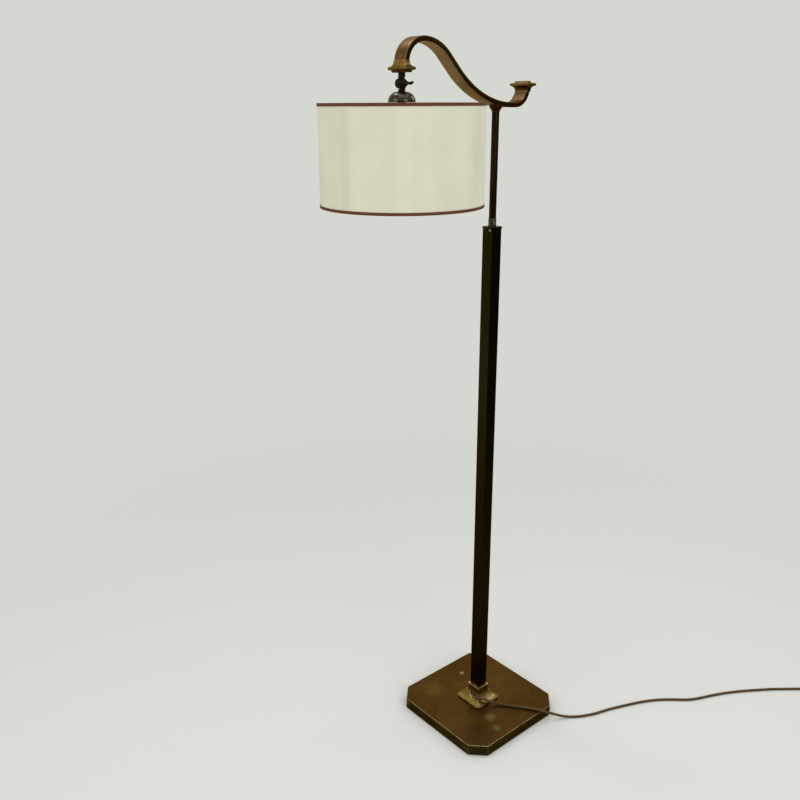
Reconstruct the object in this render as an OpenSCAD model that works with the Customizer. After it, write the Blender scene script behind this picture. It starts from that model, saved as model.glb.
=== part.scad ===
// Swan-neck floor lamp: a square column on a weighted octagonal base, a round mast that slides and
// turns in the column, a stiff S-shaped strap arm and a tilting drum shade.
// Millimetres. The origin is on the floor under the column, +Z is up and the lamp hangs towards -X.

/* [Base] */
// Width of the octagonal base across two opposite sides
base_side = 285; // [240:5:340]
// Leg of each cut corner of the base
base_cut = 33; // [20:1:50]
// Height of the base above the floor
base_height = 28; // [20:1:40]
// Sheet thickness of the base tray
base_wall = 1.6; // [1:0.1:2.5]
// Thickness of the felt pad
pad_thickness = 2; // [1:0.5:3]
// Distance from the tray's edge to the felt pad's edge
pad_inset = 4; // [2:0.5:12]
// Diameter of the pocket under the weight for the nut
pocket_d = 36; // [30:1:60]
// Depth of the pocket under the weight
pocket_depth = 10; // [9.5:0.1:11]

/* [Foot flange] */
// Width of the flange at the base
flange_side = 77; // [68:1:90]
// Leg of each cut corner of the flange
flange_cut = 6.5; // [4:0.5:14]
// Height of the flange
flange_height = 40; // [38:1:50]
// Height of the flange's upright edge
flange_edge = 5; // [3:0.5:6]
// Radius of the flange's hollow flare
flare_r = 27; // [26:0.5:30]
// Wall of the flange
flange_wall = 2; // [1.5:0.1:2.4]
// Wall of the flange's collar round the column
flange_collar_wall = 2.4; // [2.2:0.1:3]
// How far the lip stands out from the collar
lip_proud = 1; // [0.5:0.1:2]
// Height of the lip
lip_height = 2.5; // [1.5:0.1:4]
// Height above the base of the ledge that the column stands on
ledge_height = 29; // [28.5:0.5:32]
// Thickness of that ledge
ledge_thickness = 2; // [1.5:0.1:2.5]
// Width of that ledge
ledge_width = 1.8; // [1:0.1:2]
// Diameter of the cord hole
cord_hole_d = 10; // [8:0.5:12]

/* [Column] */
// Side of the square column
column_side = 28; // [27:0.5:32]
// Wall of the column
column_wall = 1.5; // [1:0.1:1.8]
// Corner radius of the column
column_corner = 1.2; // [0.5:0.1:2]
// Length of the column
column_length = 1137; // [900:1:1300]
// Height of the threaded plug in the column's foot
plug_height = 22; // [16:1:30]
// Width of the plug's slot for the lead
plug_slot = 7; // [6.5:0.1:8]

/* [Tie rod] */
// Diameter of the tie rod
tie_d = 10; // [8:0.5:10]
// Diameter of the washer
tie_washer_d = 28; // [22:1:30]
// Thickness of the washer
tie_washer_t = 2; // [1.5:0.1:2.5]
// Width of the nut across its flats
tie_nut_flats = 17; // [14:0.5:19]
// Height of the nut
tie_nut_h = 6; // [5:0.1:6.5]

/* [Cap and guide] */
// Side of the square cap
cap_side = 30.5; // [29:0.5:36]
// Thickness of the cap's plate
cap_thickness = 4; // [2:0.1:6]
// Radius of the cap's upright corners
cap_corner = 3; // [1.5:0.1:5]
// Length of the cap's plug in the column
cap_plug = 26; // [20:1:40]
// Diameter of the cap's fixing screw
cap_screw_d = 3.6; // [2.5:0.1:4]
// Length of the cap's fixing screw
cap_screw_length = 3.6; // [2.5:0.1:4]
// Depth of the screw below the column's top
cap_screw_depth = 5; // [4:0.5:8]
// Wall of the split sleeve
sleeve_wall = 0.75; // [0.6:0.05:1]
// How far the sleeve stands above the cap
sleeve_stand = 16; // [12:0.5:25]
// Width of the slots in the sleeve
sleeve_slot = 1.2; // [0.8:0.1:2]
// Length of the slots in the sleeve
sleeve_slot_length = 13; // [8:0.5:16]

/* [Mast] */
// Outer diameter of the mast
mast_d = 15; // [14:0.1:15.4]
// Wall of the mast
mast_wall = 1.25; // [1:0.05:1.5]
// Length of mast that shows between sleeve and collar at rest
mast_exposed = 209; // [180:1:260]
// How far the mast can rise from rest
slide_up = 250; // [200:5:300]
// Length of the block that slides in the column
block_length = 30; // [20:1:50]
// Diameter of the stop collar and the ring nut
ring_d = 19; // [18.5:0.1:19.6]
// Height of the stop collar
stop_height = 8; // [5:0.5:12]
// Height of the ring nut
ring_height = 6; // [5:0.5:10]
// Diameter of the swivel stop's pin and lug
swivel_pin_d = 2.4; // [2:0.1:2.6]

/* [Arm] */
// Distance from the mast's axis to the lamp's axis
reach = 245; // [235:1:280]
// Width of the strap
strap_w = 32; // [26:0.5:40]
// Thickness of the strap
strap_t = 9.5; // [9.2:0.1:11]
// Wall of the strap
strap_wall = 1.2; // [0.8:0.1:1.5]
// Height of the arm's crown above its lowest point
crown_rise = 112.8; // [105:0.1:130]
// Radius of the hook over the lamp
hook_r = 42; // [36:0.5:50]
// Radius of the crown
crown_r = 85; // [70:1:95]
// Steepest slope of the arm in degrees
arm_slope = 45; // [42:0.5:47]
// Radius of the long sweep over the mast
sweep_r = 212; // [195:1:225]
// Straight stretch between the sweep and the tail
tail_flat = 10; // [4:0.5:30]
// Radius of the upturned tail
tail_r = 34; // [30:0.5:44]
// Height of the arm's lowest centre line above the foot of the collar
collar_rise = 12.7; // [11:0.1:18]
// Diameter of the arm collar at its top
collar_d = 26; // [22:0.5:30]
// Diameter of the arm collar at its foot
collar_foot_d = 17; // [16.4:0.1:20]
// Height of the bead at the collar's foot
collar_bead = 2; // [1:0.1:3]

/* [Arm end mouldings] */
// Wall of the mouldings round the strap
neck_wall = 0.8; // [0.6:0.1:2]
// Height of the plain neck
neck_height = 3; // [2:0.5:6]
// How far the flare stands out from the neck
end_flare = 8; // [6:0.5:8.5]
// Radius of the hollow flare
end_flare_r = 9; // [9:0.5:12]
// Thickness of the rim
rim_height = 5; // [4:0.1:6]
// Height of the plinth
plinth_height = 4; // [3:0.1:6]
// How far the plinth under the lamp end is set in from the rim
plinth_inset = 5; // [3:0.5:5.5]
// How far the plinth on the tail end is set in from the rim
tail_inset = 7.5; // [5:0.5:8]
// Web between the rim and the strap's end
end_web = 2; // [1.5:0.1:5]

/* [Knuckle] */
// Diameter of the stems
stem_d = 13; // [12:0.5:16]
// Distance from the moulding to the tilt axis
knuckle_drop = 18; // [15:0.5:26]
// Diameter of the ears
ear_d = 18; // [15:0.5:20]
// Width of the upper ear
ear_upper = 11.5; // [8:0.5:14]
// Width of the lower ear
ear_lower = 8; // [6.5:0.5:12]
// Diameter of the threaded spigots
spigot_d = 10; // [9.5:0.1:10.5]
// Diameter of the hole for the lead
lead_hole_d = 6.2; // [6:0.1:7]
// Diameter of the thumb screw's shank
thumb_shank_d = 5; // [4:0.1:6]
// Diameter of the thumb screw's cone
thumb_cone_d = 11; // [8:0.5:14]
// Length of the thumb screw's cone
thumb_cone_length = 12; // [8:0.5:16]
// Length of the thumb screw's spade
spade_length = 11; // [8:0.5:18]
// Width of the spade
spade_w = 9; // [6:0.5:12]
// Thickness of the spade
spade_t = 3.8; // [2:0.1:4.5]
// Turn of the spade about the screw, in degrees
spade_turn = 145; // [0:1:180]

/* [Dome] */
// Diameter of the dome
dome_d = 51; // [44:0.5:60]
// Height of the dome
dome_h = 18.5; // [14:0.5:19]
// Sheet thickness of the dome
dome_wall = 1; // [0.6:0.1:1.5]
// Depth of the dome's top below the tilt axis
dome_drop = 13.5; // [13:0.5:20]

/* [Lampholder] */
// Diameter of the neck
holder_neck_d = 16; // [14.5:0.5:18]
// Length of the neck
holder_neck = 26; // [22:0.5:34]
// Height of the cap's cone
holder_cone = 12; // [8:0.5:18]
// Height of the cap's skirt
holder_skirt = 6; // [5.5:0.5:12]
// Outer diameter of the body
holder_d = 36; // [34.5:0.5:40]
// Wall of the body
holder_wall = 1.5; // [1:0.1:2]
// Length of the body
holder_length = 41; // [38:0.5:50]
// How far the body goes into the skirt
holder_lap = 5; // [3:0.5:5]
// Height of the ceramic core
core_height = 16; // [15.5:0.5:18]
// Inner diameter of the screw shell
shell_bore = 27.4; // [27.2:0.1:28]
// Wall of the screw shell
shell_wall = 0.8; // [0.5:0.05:1.1]
// Length of the screw shell
shell_length = 22; // [18:0.5:24]
// Diameter of the centre contact
contact_d = 8; // [6:0.5:10]
// Thickness of the centre contact
contact_t = 1.5; // [1:0.1:2]
// Depth of the switch spindle below the cap's skirt
key_depth = 3.4; // [3:0.1:3.6]
// Diameter of the switch spindle
spindle_d = 4; // [3:0.1:4.2]
// Length of the spindle outside the body
spindle_length = 9; // [8.5:0.5:14]
// Length of the switch key
key_length = 14; // [10:0.5:18]
// Width of the switch key
key_w = 14; // [10:0.5:18]
// Thickness of the switch key
key_t = 3.6; // [2.5:0.1:4]

/* [Bulb] */
// Diameter of the bulb
bulb_d = 60; // [45:1:70]
// Overall length of the bulb
bulb_length = 105; // [98:1:120]
// Diameter of the bulb's screw cap
bulb_cap_d = 26.2; // [25.8:0.1:26.4]
// Length of the bulb's screw cap
bulb_cap_length = 24; // [20:0.5:26]
// Thickness of the glass
glass_t = 0.8; // [0.5:0.1:1.2]

/* [Shade] */
// Outer diameter of the shade
shade_d = 306; // [260:2:312]
// Height of the shade
shade_h = 182; // [140:1:220]
// Thickness of the shade's skin
shade_t = 0.8; // [0.5:0.1:1.5]
// Depth of the shade's top below the tilt axis
shade_drop = 33.4; // [33:0.1:44]
// Width of the binding
trim_w = 5; // [3:0.5:9]
// Thickness of the binding
trim_t = 0.5; // [0.3:0.1:1]
// Wire diameter of the frame
wire_d = 3; // [2.5:0.1:3.5]
// Distance from the shade's edge to the middle of the wire rings
wire_inset = 3.5; // [2:0.5:5]
// Outer diameter of the spider's washer
washer_d = 51; // [49:0.5:56]
// Thickness of the spider's washer
washer_t = 1.5; // [1:0.1:2]
// Outer diameter of the seat on the lampholder for the washer
seat_d = 43; // [40:0.5:44]
// Thickness of that seat
seat_t = 2; // [1.5:0.1:2.5]
// Depth of the seat below the holder body's top
seat_depth = 11.5; // [11.2:0.1:13]
// Outer diameter of the shade ring
ring_outer_d = 52; // [46:0.5:56]
// Height of the shade ring
ring_h = 8; // [6:0.5:10]

/* [Flex] */
// Diameter of the flex
flex_d = 6; // [5:0.1:6.2]
// Diameter of the lead inside the lamp
lead_d = 5.6; // [5.2:0.1:5.8]
// Turns of the coil
coil_turns = 5.1; // [3.1:1:7.1]
// Radius of the coil's outer turn
coil_r = 42; // [38:0.5:50]
// Distance between neighbouring turns
coil_pitch = 6.7; // [6.6:0.1:8]
// Height between the coil's two layers
coil_layer = 6.8; // [6.7:0.1:8]
// Width of the coil's tie
tie_w = 9; // [5:0.5:15]
// Thickness of the coil's tie
tie_t = 0.6; // [0.4:0.1:1]
// Width of the plug
plug_w = 34; // [28:0.5:44]
// Thickness of the plug
plug_t = 20; // [14:0.5:20]
// Length of the plug's body
plug_length = 36; // [26:0.5:46]
// Length of the plug's cord sleeve
plug_sleeve = 24; // [20:0.5:40]
// Diameter of the plug's pins
pin_d = 4; // [3.5:0.1:5]
// Length of the plug's pins
pin_length = 19; // [15:0.5:22]
// Distance between the plug's pins
pin_gap = 19; // [14:0.5:24]

/* [Clearances] */
// Gap of a pressed or brazed fit
fit = 0.05; // [0.03:0.01:0.08]
// Radial gap of a turning or sliding shaft
running = 0.05; // [0.03:0.01:0.08]
// Gap between flat faces that slide
slide_gap = 0.2; // [0.15:0.05:0.3]
// Gap between moving pieces that do not touch
clear = 0.4; // [0.3:0.05:0.6]

/* [Hidden] */
$fn = 96;
// Steps round the collar's large seat
fine = 360;

// How far a cut runs past the faces that it opens
over = 1;

// Colours as the photograph shows them
brass_dark = [0.29, 0.22, 0.12];
brass_olive = [0.42, 0.36, 0.16];
brass_brown = [0.42, 0.33, 0.20];
bronze_black = [0.10, 0.09, 0.07];
column_black = [0.13, 0.11, 0.05];
worn_metal = [0.40, 0.38, 0.30];
iron_grey = [0.25, 0.25, 0.26];
steel_grey = [0.55, 0.55, 0.55];
felt_green = [0.16, 0.22, 0.16];
cream = [0.84, 0.83, 0.73];
binding_red = [0.33, 0.19, 0.13];
ceramic_white = [0.88, 0.86, 0.80];
opal = [0.95, 0.95, 0.92];
flex_brown = [0.36, 0.28, 0.20];

// Heights of the stand, from the floor up
base_top_z = base_height;
weight_top_z = base_top_z - base_wall - fit;
pocket_top_z = pad_thickness + pocket_depth;
flange_top_z = base_top_z + flange_height;
column_foot_z = base_top_z + ledge_height;
column_top_z = column_foot_z + column_length;
cap_top_z = column_top_z + cap_thickness;
sleeve_top_z = cap_top_z + sleeve_stand;
cap_plug_z = column_top_z - cap_plug;
plug_top_z = column_foot_z + plug_height;
column_inner = column_side - 2 * column_wall;
flange_collar_half = column_side / 2 + fit + flange_collar_wall;

// The mast and what it carries in the column
sleeve_d = mast_d + 2 * running + 2 * sleeve_wall;
stop_top_z = cap_plug_z - slide_up - clear;
block_top_z = stop_top_z - stop_height - slide_gap;
block_foot_z = block_top_z - block_length;
ring_top_z = block_foot_z - slide_gap;
mast_foot_z = ring_top_z - ring_height;
swivel_r = ring_d / 2 + clear + swivel_pin_d / 2;

// Centre line of the arm in the XZ plane
collar_foot_z = sleeve_top_z + mast_exposed;
arm_low_z = collar_foot_z + collar_rise;
crown_z = arm_low_z + crown_rise;
hook_x = hook_r - reach;
hook_z = crown_z - hook_r;
crown_centre_z = crown_z - crown_r;
slope_run = (crown_rise - (crown_r + sweep_r) * (1 - cos(arm_slope))) / sin(arm_slope);
slope_x = hook_x + crown_r * sin(arm_slope);
slope_z = crown_centre_z + crown_r * cos(arm_slope);
sweep_x = slope_x + slope_run * cos(arm_slope) + sweep_r * sin(arm_slope);
sweep_z = arm_low_z + sweep_r;
tail_centre_x = sweep_x + tail_flat;
tail_centre_z = arm_low_z + tail_r;
tail_x = tail_centre_x + tail_r;
strap_under_z = sweep_z - sqrt(pow(sweep_r + strap_t / 2, 2) - pow(sweep_x, 2));
arm_mid_z = sweep_z - sqrt(pow(sweep_r, 2) - pow(sweep_x, 2));
mast_poke = 0.3;
mast_top_z = strap_under_z + strap_wall + mast_poke;

// Short straight ends of the strap inside the mouldings
hook_drop = 4.5;
tail_stub = 0.5;
strap_end_z = hook_z - hook_drop;
tail_end_z = tail_centre_z + tail_stub;

// Flats that each bend of the strap is made of
hook_steps = 18;
crown_steps = 16;
sweep_steps = 30;
tail_steps = 18;

// Folds pressed into the tail's inner face where the strap was bent
fold_r = 1.1;
fold_angles = [318, 327, 336];

// End mouldings
end_flare_rise = sqrt(pow(end_flare_r, 2) - pow(end_flare_r - end_flare, 2));
end_neck_x = strap_t / 2 + neck_wall;
end_neck_y = strap_w / 2 + neck_wall;
end_body = rim_height + end_flare_rise + neck_height;
end_floor = plinth_height + rim_height + end_web;
arm_cap_z = strap_end_z - end_floor;
finial_top_z = tail_end_z + end_floor;

// Head, from the tilt axis down
lamp_x = -reach;
tilt_z = arm_cap_z - knuckle_drop;
ear_gap = 0.15;
stem_gap_z = ear_d / 2 + clear;
spigot_up = 6;
lead_end = 4;
dome_top_z = tilt_z - dome_drop;
dome_foot_z = dome_top_z - dome_h;
dome_flat_r = dome_d / 2 - dome_h;
holder_top_z = dome_top_z - dome_wall - slide_gap;
holder_cone_z = holder_top_z - holder_neck;
holder_skirt_z = holder_cone_z - holder_cone;
holder_cap_foot_z = holder_skirt_z - holder_skirt;
body_top_z = holder_cap_foot_z + holder_lap;
body_foot_z = body_top_z - holder_length;
seat_foot_z = body_top_z - seat_depth - seat_t;
washer_foot_z = seat_foot_z - washer_t;
core_top_z = body_top_z - fit;
core_foot_z = core_top_z - core_height;
contact_foot_z = core_foot_z - contact_t;
bulb_top_z = contact_foot_z - slide_gap;
key_z = holder_cap_foot_z - key_depth;
spindle_seat = 6;
spigot_down = dome_wall + 22;

// Bulb: tip, screw cap and glass
bulb_tip_d = 9;
bulb_tip_h = 1.5;
bulb_taper_h = 3;
bulb_crimp = 2;
bulb_neck_r = bulb_cap_d / 2 - glass_t;
bulb_centre_z = bulb_top_z - bulb_length + bulb_d / 2;
bulb_cap_foot_z = bulb_top_z - bulb_cap_length;
bulb_shoulder = 0.5;

// Shade
shade_top_z = tilt_z - shade_drop;
shade_foot_z = shade_top_z - shade_h;
shade_inner_r = shade_d / 2 - shade_t;
wire_ring_r = shade_inner_r - wire_d / 2 - slide_gap;
spider_arms = 3;
spider_turn = 90;
weld_in = 0.7;
weld_up = 0.3;
spider_start_r = washer_d / 2 - wire_d / 2;
spider_start_z = washer_foot_z + wire_d / 2 + 2 * fit;
spider_ring_z = shade_top_z - wire_inset;

// Route of the flex, chosen by hand: over the base as heights above its top, then on the floor
route_on_base = [[-16, 4, 17.4], [-23.2, -3.1, 18], [-26.3, -10.1, 18.6], [-25.4, -18.3, 19.8],
  [-20.3, -26.4, 19.5], [-12.9, -32.5, 16], [-5.4, -37.9, 11.6], [1.5, -45.2, 9.2], [13, -56.3, 5.2],
  [25.8, -72.1, 3.4], [37.4, -87.7, 3.2], [47.9, -101.7, 3.5],
  [65.7, -126.5, 3.9], [77.4, -143.8, 3]];
route_on_floor = [[94, -155.4, 22.5], [111.4, -164.2, 13], [125.8, -173.3, 7], [139, -182.5, 4.2],
  [151.8, -191.6, 3.3], [165.1, -200.2, 3.2], [191.3, -213.3, 3.2], [214.5, -221.3, 3.2],
  [238.6, -229.4, 3.2], [263.7, -239.4, 3.2], [289.9, -250.5, 3.2], [317, -262.6, 3.2],
  [343.2, -276.6, 3.2], [367.3, -292.7, 3.2], [391.5, -312.8, 3.2], [417.6, -336, 3.2],
  [445.8, -352.1, 3.2], [474.9, -365.1, 3.2], [504.1, -379.2, 3.2], [532.2, -395.3, 3.2],
  [559.4, -412.4, 3.2], [613.7, -450.6, 3.2], [639.8, -471.7, 3.2],
  [665, -492.8, 3.3], [688.1, -512.9, 3.7], [711.2, -533.1, 4.3]];
flex_route = concat([for (p = route_on_base) p + [0, 0, base_top_z]], route_on_floor);
// Hidden end of the flex inside the flange and the column's foot, as heights above the base's top
lead_route = [[-16, 4, 17.4], [-12.2, 6.6, 18.4], [-9.8, 7.4, 21.8], [-8.8, 7.6, 27.2], [-8.6, 7.6, 44],
  [-8.6, 7.6, 54], [-6, 5.5, 66], [-2, 2, 78], [0, 0, 88], [0, 0, 94]];
lead_top_z = base_top_z + 94;
// Lead through the mast and the arm: up the mast, round an elbow and along the strap's centre line
elbow_r = 7;
elbow_step = 15;
lead_step = 5;
elbow_z = sweep_z - sqrt(pow(sweep_r, 2) - pow(sweep_x + elbow_r, 2));
elbow_out = asin((sweep_x + elbow_r + lead_end) / sweep_r);
inner_route = concat([[0, 0, mast_foot_z]],
  [for (a = [0 : elbow_step : 90]) [elbow_r * (cos(a) - 1), 0, elbow_z + elbow_r * (sin(a) - 1)]],
  [for (a = [270 - elbow_out : -lead_step : 270 - arm_slope + lead_step / 2]) on_arc(sweep_x, sweep_z, sweep_r, a)],
  [on_arc(sweep_x, sweep_z, sweep_r, 270 - arm_slope)],
  [for (a = [90 - arm_slope : lead_step : 90]) on_arc(hook_x, crown_centre_z, crown_r, a)],
  [for (a = [90 + 2 * lead_step : 2 * lead_step : 180]) on_arc(hook_x, hook_z, hook_r, a)],
  [[lamp_x, 0, arm_cap_z - lead_end]]);
flex_steps = 2;
flex_sides = 10;
lead_sides = 8;

// Coil: it spirals in on the lower layer and out on the upper one, turning clockwise from above
coil_sides = 6;
coil_rings = 24;
coil_stub = flex_d;
coil_start = flex_route[len(flex_route) - 1];
coil_heading = unit(flat(coil_start - flex_route[len(flex_route) - 2]));
coil_entry = coil_start + coil_stub * coil_heading;
coil_entry_angle = atan2(coil_heading[0], -coil_heading[1]);
coil_centre = coil_entry - coil_r * [cos(coil_entry_angle), sin(coil_entry_angle), 0];
coil_exit_angle = coil_entry_angle - 360 * coil_turns;
coil_exit_heading = [sin(coil_exit_angle), -cos(coil_exit_angle), 0];
coil_inner_r = coil_r - coil_pitch * coil_turns / 2;
coil_exit = coil_point(coil_turns);
plug_run = sqrt(pow(coil_r + flex_d / 2, 2) - pow(coil_r - plug_w / 2, 2)) + 2 * clear;
coil_exit_stub = max(coil_stub, plug_run - plug_sleeve);
plug_start = coil_exit + coil_exit_stub * coil_exit_heading;
plug_turn = atan2(coil_exit_heading[1], coil_exit_heading[0]);
tie_turn = 165;
coil_path = concat([coil_start, coil_entry - coil_stub / 2 * coil_heading],
  [for (i = [0 : floor(coil_turns * coil_rings)]) coil_point(i / coil_rings)],
  [coil_exit, coil_exit + coil_exit_stub / 2 * coil_exit_heading, plug_start]);

// Plug: sleeve mouth and rounded body
plug_mouth_d = 12;
plug_round = 6;
pin_root = 4;

// Point of an arc in the XZ plane
function on_arc(x, z, r, angle) = [x + r * cos(angle), 0, z + r * sin(angle)];

// Points of a bend with the direction of the strap's upper face there, which is outwards or inwards
function bend(x, z, r, from, to, steps, outwards) =
  [for (i = [0 : steps])
    let (a = from + (to - from) * i / steps)
    [x + r * cos(a), z + r * sin(a), outwards * cos(a), outwards * sin(a)]];

// The strap's centre line from the lamp to the tail, as X, Z and the upper face's direction
function strap_line(extra) = concat(
  [[lamp_x, strap_end_z - extra, -1, 0]],
  bend(hook_x, hook_z, hook_r, 180, 90, hook_steps, 1),
  [for (p = bend(hook_x, crown_centre_z, crown_r, 90, 90 - arm_slope, crown_steps, 1)) if (p[0] > hook_x + fit) p],
  bend(sweep_x, sweep_z, sweep_r, 270 - arm_slope, 270, sweep_steps, -1),
  bend(tail_centre_x, tail_centre_z, tail_r, 270, 360, tail_steps, -1),
  [[tail_x, tail_end_z + extra, -1, 0]]);

// Vector with its height dropped
function flat(v) = [v[0], v[1], 0];

// Vector of length one
function unit(v) = v / norm(v);

// Point of the coil after a number of turns
function coil_point(turn) =
  let (angle = coil_entry_angle - 360 * turn)
  let (r = coil_inner_r + coil_pitch * abs(turn - coil_turns / 2))
  let (climb = min(1, max(0, 2 * (turn - coil_turns / 2) + 1 / 2)))
  coil_centre + [r * cos(angle), r * sin(angle), coil_layer * climb];

// Smooth curve through a route's points, with a number of steps between neighbours
function smooth(route, steps) =
  let (last = len(route) - 1)
  [for (i = [0 : last], s = [0 : (i < last ? steps - 1 : 0)])
    let (t = s / steps)
    let (a = route[max(i - 1, 0)], b = route[i], c = route[min(i + 1, last)])
    let (d = route[min(i + 2, last)])
    b + t / 2 * (c - a) + t * t * (a - 5 / 2 * b + 2 * c - d / 2)
      + t * t * t * (3 / 2 * b - a / 2 - 3 / 2 * c + d / 2)];

// Direction of a path at one of its points
function heading(path, i) = unit(path[min(i + 1, len(path) - 1)] - path[max(i - 1, 0)]);

// Ring of points round a path's point, square to its direction
function ring(at, along, r, sides, side_hint) =
  let (across = unit(cross(along, side_hint)))
  let (up = cross(across, along))
  [for (k = [0 : sides - 1]) at + r * (cos(360 * k / sides) * across + sin(360 * k / sides) * up)];

// Triangles between the rings of a tube and over its two ends
function tube_faces(rings, sides) =
  concat(
    [for (k = [1 : sides - 2]) [0, k, k + 1]],
    [for (i = [0 : rings - 2], k = [0 : sides - 1]) [i * sides + k, (i + 1) * sides + k,
      i * sides + (k + 1) % sides]],
    [for (i = [0 : rings - 2], k = [0 : sides - 1]) [i * sides + (k + 1) % sides,
      (i + 1) * sides + k, (i + 1) * sides + (k + 1) % sides]],
    [for (k = [1 : sides - 2]) [(rings - 1) * sides, (rings - 1) * sides + k + 1,
      (rings - 1) * sides + k]]);

// Round tube along a path, with its end faces square to the given directions
module tube(path, d, sides, side_hint, first, last_along) {
  count = len(path);
  along = [for (i = [0 : count - 1]) i == 0 ? first : i == count - 1 ? last_along : heading(path, i)];
  points = [for (i = [0 : count - 1]) each ring(path[i], along[i], d / 2, sides, side_hint)];
  polyhedron(points, tube_faces(count, sides), convexity = 10);
}

// Square with round corners
module round_square(side, corner) {
  square([side, side - 2 * corner], center = true);
  square([side - 2 * corner, side], center = true);
  for (x = [-1, 1], y = [-1, 1])
    translate([x, y] * (side / 2 - corner))
      circle(r = corner);
}

// Square with its corners cut off
module cut_square(side, cut) {
  half = side / 2;
  polygon([for (q = [0 : 3], p = [[half, cut - half], [half, half - cut]])
    [p[0] * cos(90 * q) - p[1] * sin(90 * q), p[0] * sin(90 * q) + p[1] * cos(90 * q)]]);
}

// Straight prism of a square with cut corners, between two heights
module octagon(side, cut, low, high) {
  translate([0, 0, low])
    linear_extrude(high - low)
      cut_square(side, cut);
}

// Upright block of a square plan, between two heights
module block(size_x, size_y, low, high) {
  translate([-size_x / 2, -size_y / 2, low])
    cube([size_x, size_y, high - low]);
}

// Upright cylinder between two heights
module post(d, low, high) {
  translate([0, 0, low])
    cylinder(d = d, h = high - low);
}

// Side view of a flared block: an upright edge, a hollow arc in to the neck, then the plain neck
module flare_profile(neck_half, flare, edge, arc_r, height) {
  rise = sqrt(pow(arc_r, 2) - pow(arc_r - flare, 2));
  difference() {
    translate([-neck_half - flare, 0])
      square([2 * (neck_half + flare), height]);
    for (side = [-1, 1]) {
      translate([side * (neck_half + arc_r), edge + rise])
        circle(r = arc_r);
      translate([side * (neck_half + arc_r) - arc_r, edge + rise])
        square([2 * arc_r, height]);
    }
  }
}

// Flared block of a rectangular plan: its two side views crossed
module flare_block(neck_x, neck_y, flare, edge, arc_r, height) {
  span = 2 * (max(neck_x, neck_y) + flare + over);
  intersection() {
    rotate([90, 0, 0])
      linear_extrude(span, center = true)
        flare_profile(neck_x, flare, edge, arc_r, height);
    rotate([90, 0, 90])
      linear_extrude(span, center = true)
        flare_profile(neck_y, flare, edge, arc_r, height);
  }
}

module base_shell() {
  color(brass_dark)
    difference() {
      octagon(base_side, base_cut, pad_thickness, base_top_z);
      octagon(base_side - 2 * base_wall, base_cut, pad_thickness - over, base_top_z - base_wall);
      post(tie_d + 2 * clear, 0, base_top_z + over);
    }
}

module base_weight() {
  color(iron_grey)
    difference() {
      octagon(base_side - 2 * (base_wall + slide_gap), base_cut, pad_thickness, weight_top_z);
      post(tie_d + 2 * clear, 0, base_top_z);
      post(pocket_d, 0, pocket_top_z);
    }
}

module base_pad() {
  color(felt_green)
    octagon(base_side - 2 * pad_inset, base_cut, 0, pad_thickness);
}

module foot_flange() {
  flare = flange_side / 2 - flange_collar_half;
  hole_along = unit(flex_route[1] - flex_route[0]);
  color(brass_olive)
    difference() {
      union() {
        intersection() {
          translate([0, 0, base_top_z])
            flare_block(flange_collar_half, flange_collar_half, flare, flange_edge, flare_r, flange_height);
          octagon(flange_side, flange_cut, base_top_z - over, flange_top_z + over);
        }
        block(2 * (flange_collar_half + lip_proud), 2 * (flange_collar_half + lip_proud),
          flange_top_z - lip_height, flange_top_z);
      }
      flange_hollow(flare);
      block(column_side + 2 * fit, column_side + 2 * fit, column_foot_z, flange_top_z + over);
      block(column_side - 2 * ledge_width, column_side - 2 * ledge_width, base_top_z, flange_top_z);
      translate(flex_route[1] + flex_d * hole_along)
        rotate([0, acos(-hole_along[2]), atan2(-hole_along[1], -hole_along[0])])
          cylinder(d = cord_hole_d, h = norm(flex_route[1] - flex_route[0]) + 2 * flex_d);
    }
}

// Space inside the flange, with its wall left standing
module flange_hollow(flare) {
  rise = sqrt(pow(flare_r, 2) - pow(flare_r - flare, 2));
  hollow_top = ledge_height - ledge_thickness;
  half = flange_side / 2 - flange_wall;
  translate([0, 0, base_top_z])
    intersection() {
      flange_hollow_side(hollow_top, half, rise, 0);
      flange_hollow_side(hollow_top, half, rise, 90);
      octagon(2 * half, flange_cut, -over, hollow_top);
    }
}

// One side view of the flange's hollow
module flange_hollow_side(hollow_top, half, rise, turn) {
  rotate([90, 0, turn])
    linear_extrude(flange_side, center = true)
      difference() {
        translate([-half, -over])
          square([2 * half, hollow_top + over]);
        for (side = [-1, 1])
          translate([side * (flange_collar_half + flare_r), flange_edge + rise])
            circle(r = flare_r + flange_wall);
      }
}

module tie_rod() {
  color(steel_grey)
    post(tie_d, pocket_top_z - tie_washer_t - tie_nut_h, plug_top_z);
}

module tie_washer() {
  color(steel_grey)
    difference() {
      post(tie_washer_d, pocket_top_z - tie_washer_t, pocket_top_z);
      post(tie_d + 2 * fit, 0, base_top_z);
    }
}

module tie_nut() {
  nut_top_z = pocket_top_z - tie_washer_t;
  color(steel_grey)
    difference() {
      translate([0, 0, nut_top_z - tie_nut_h])
        cylinder(d = tie_nut_flats / cos(30), h = tie_nut_h, $fn = 6);
      post(tie_d + 2 * fit, 0, base_top_z);
    }
}

module column() {
  color(column_black)
    difference() {
      translate([0, 0, column_foot_z])
        linear_extrude(column_length)
          round_square(column_side, column_corner);
      block(column_inner, column_inner, column_foot_z - over, column_top_z + over);
      cap_screw_hole(fit, column_side);
    }
}

// Hole for the cap's screw, on the lamp's side of the column
module cap_screw_hole(gap, length) {
  translate([0, 0, column_top_z - cap_screw_depth])
    rotate([0, -90, 0])
      cylinder(d = cap_screw_d + 2 * gap, h = length);
}

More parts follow.
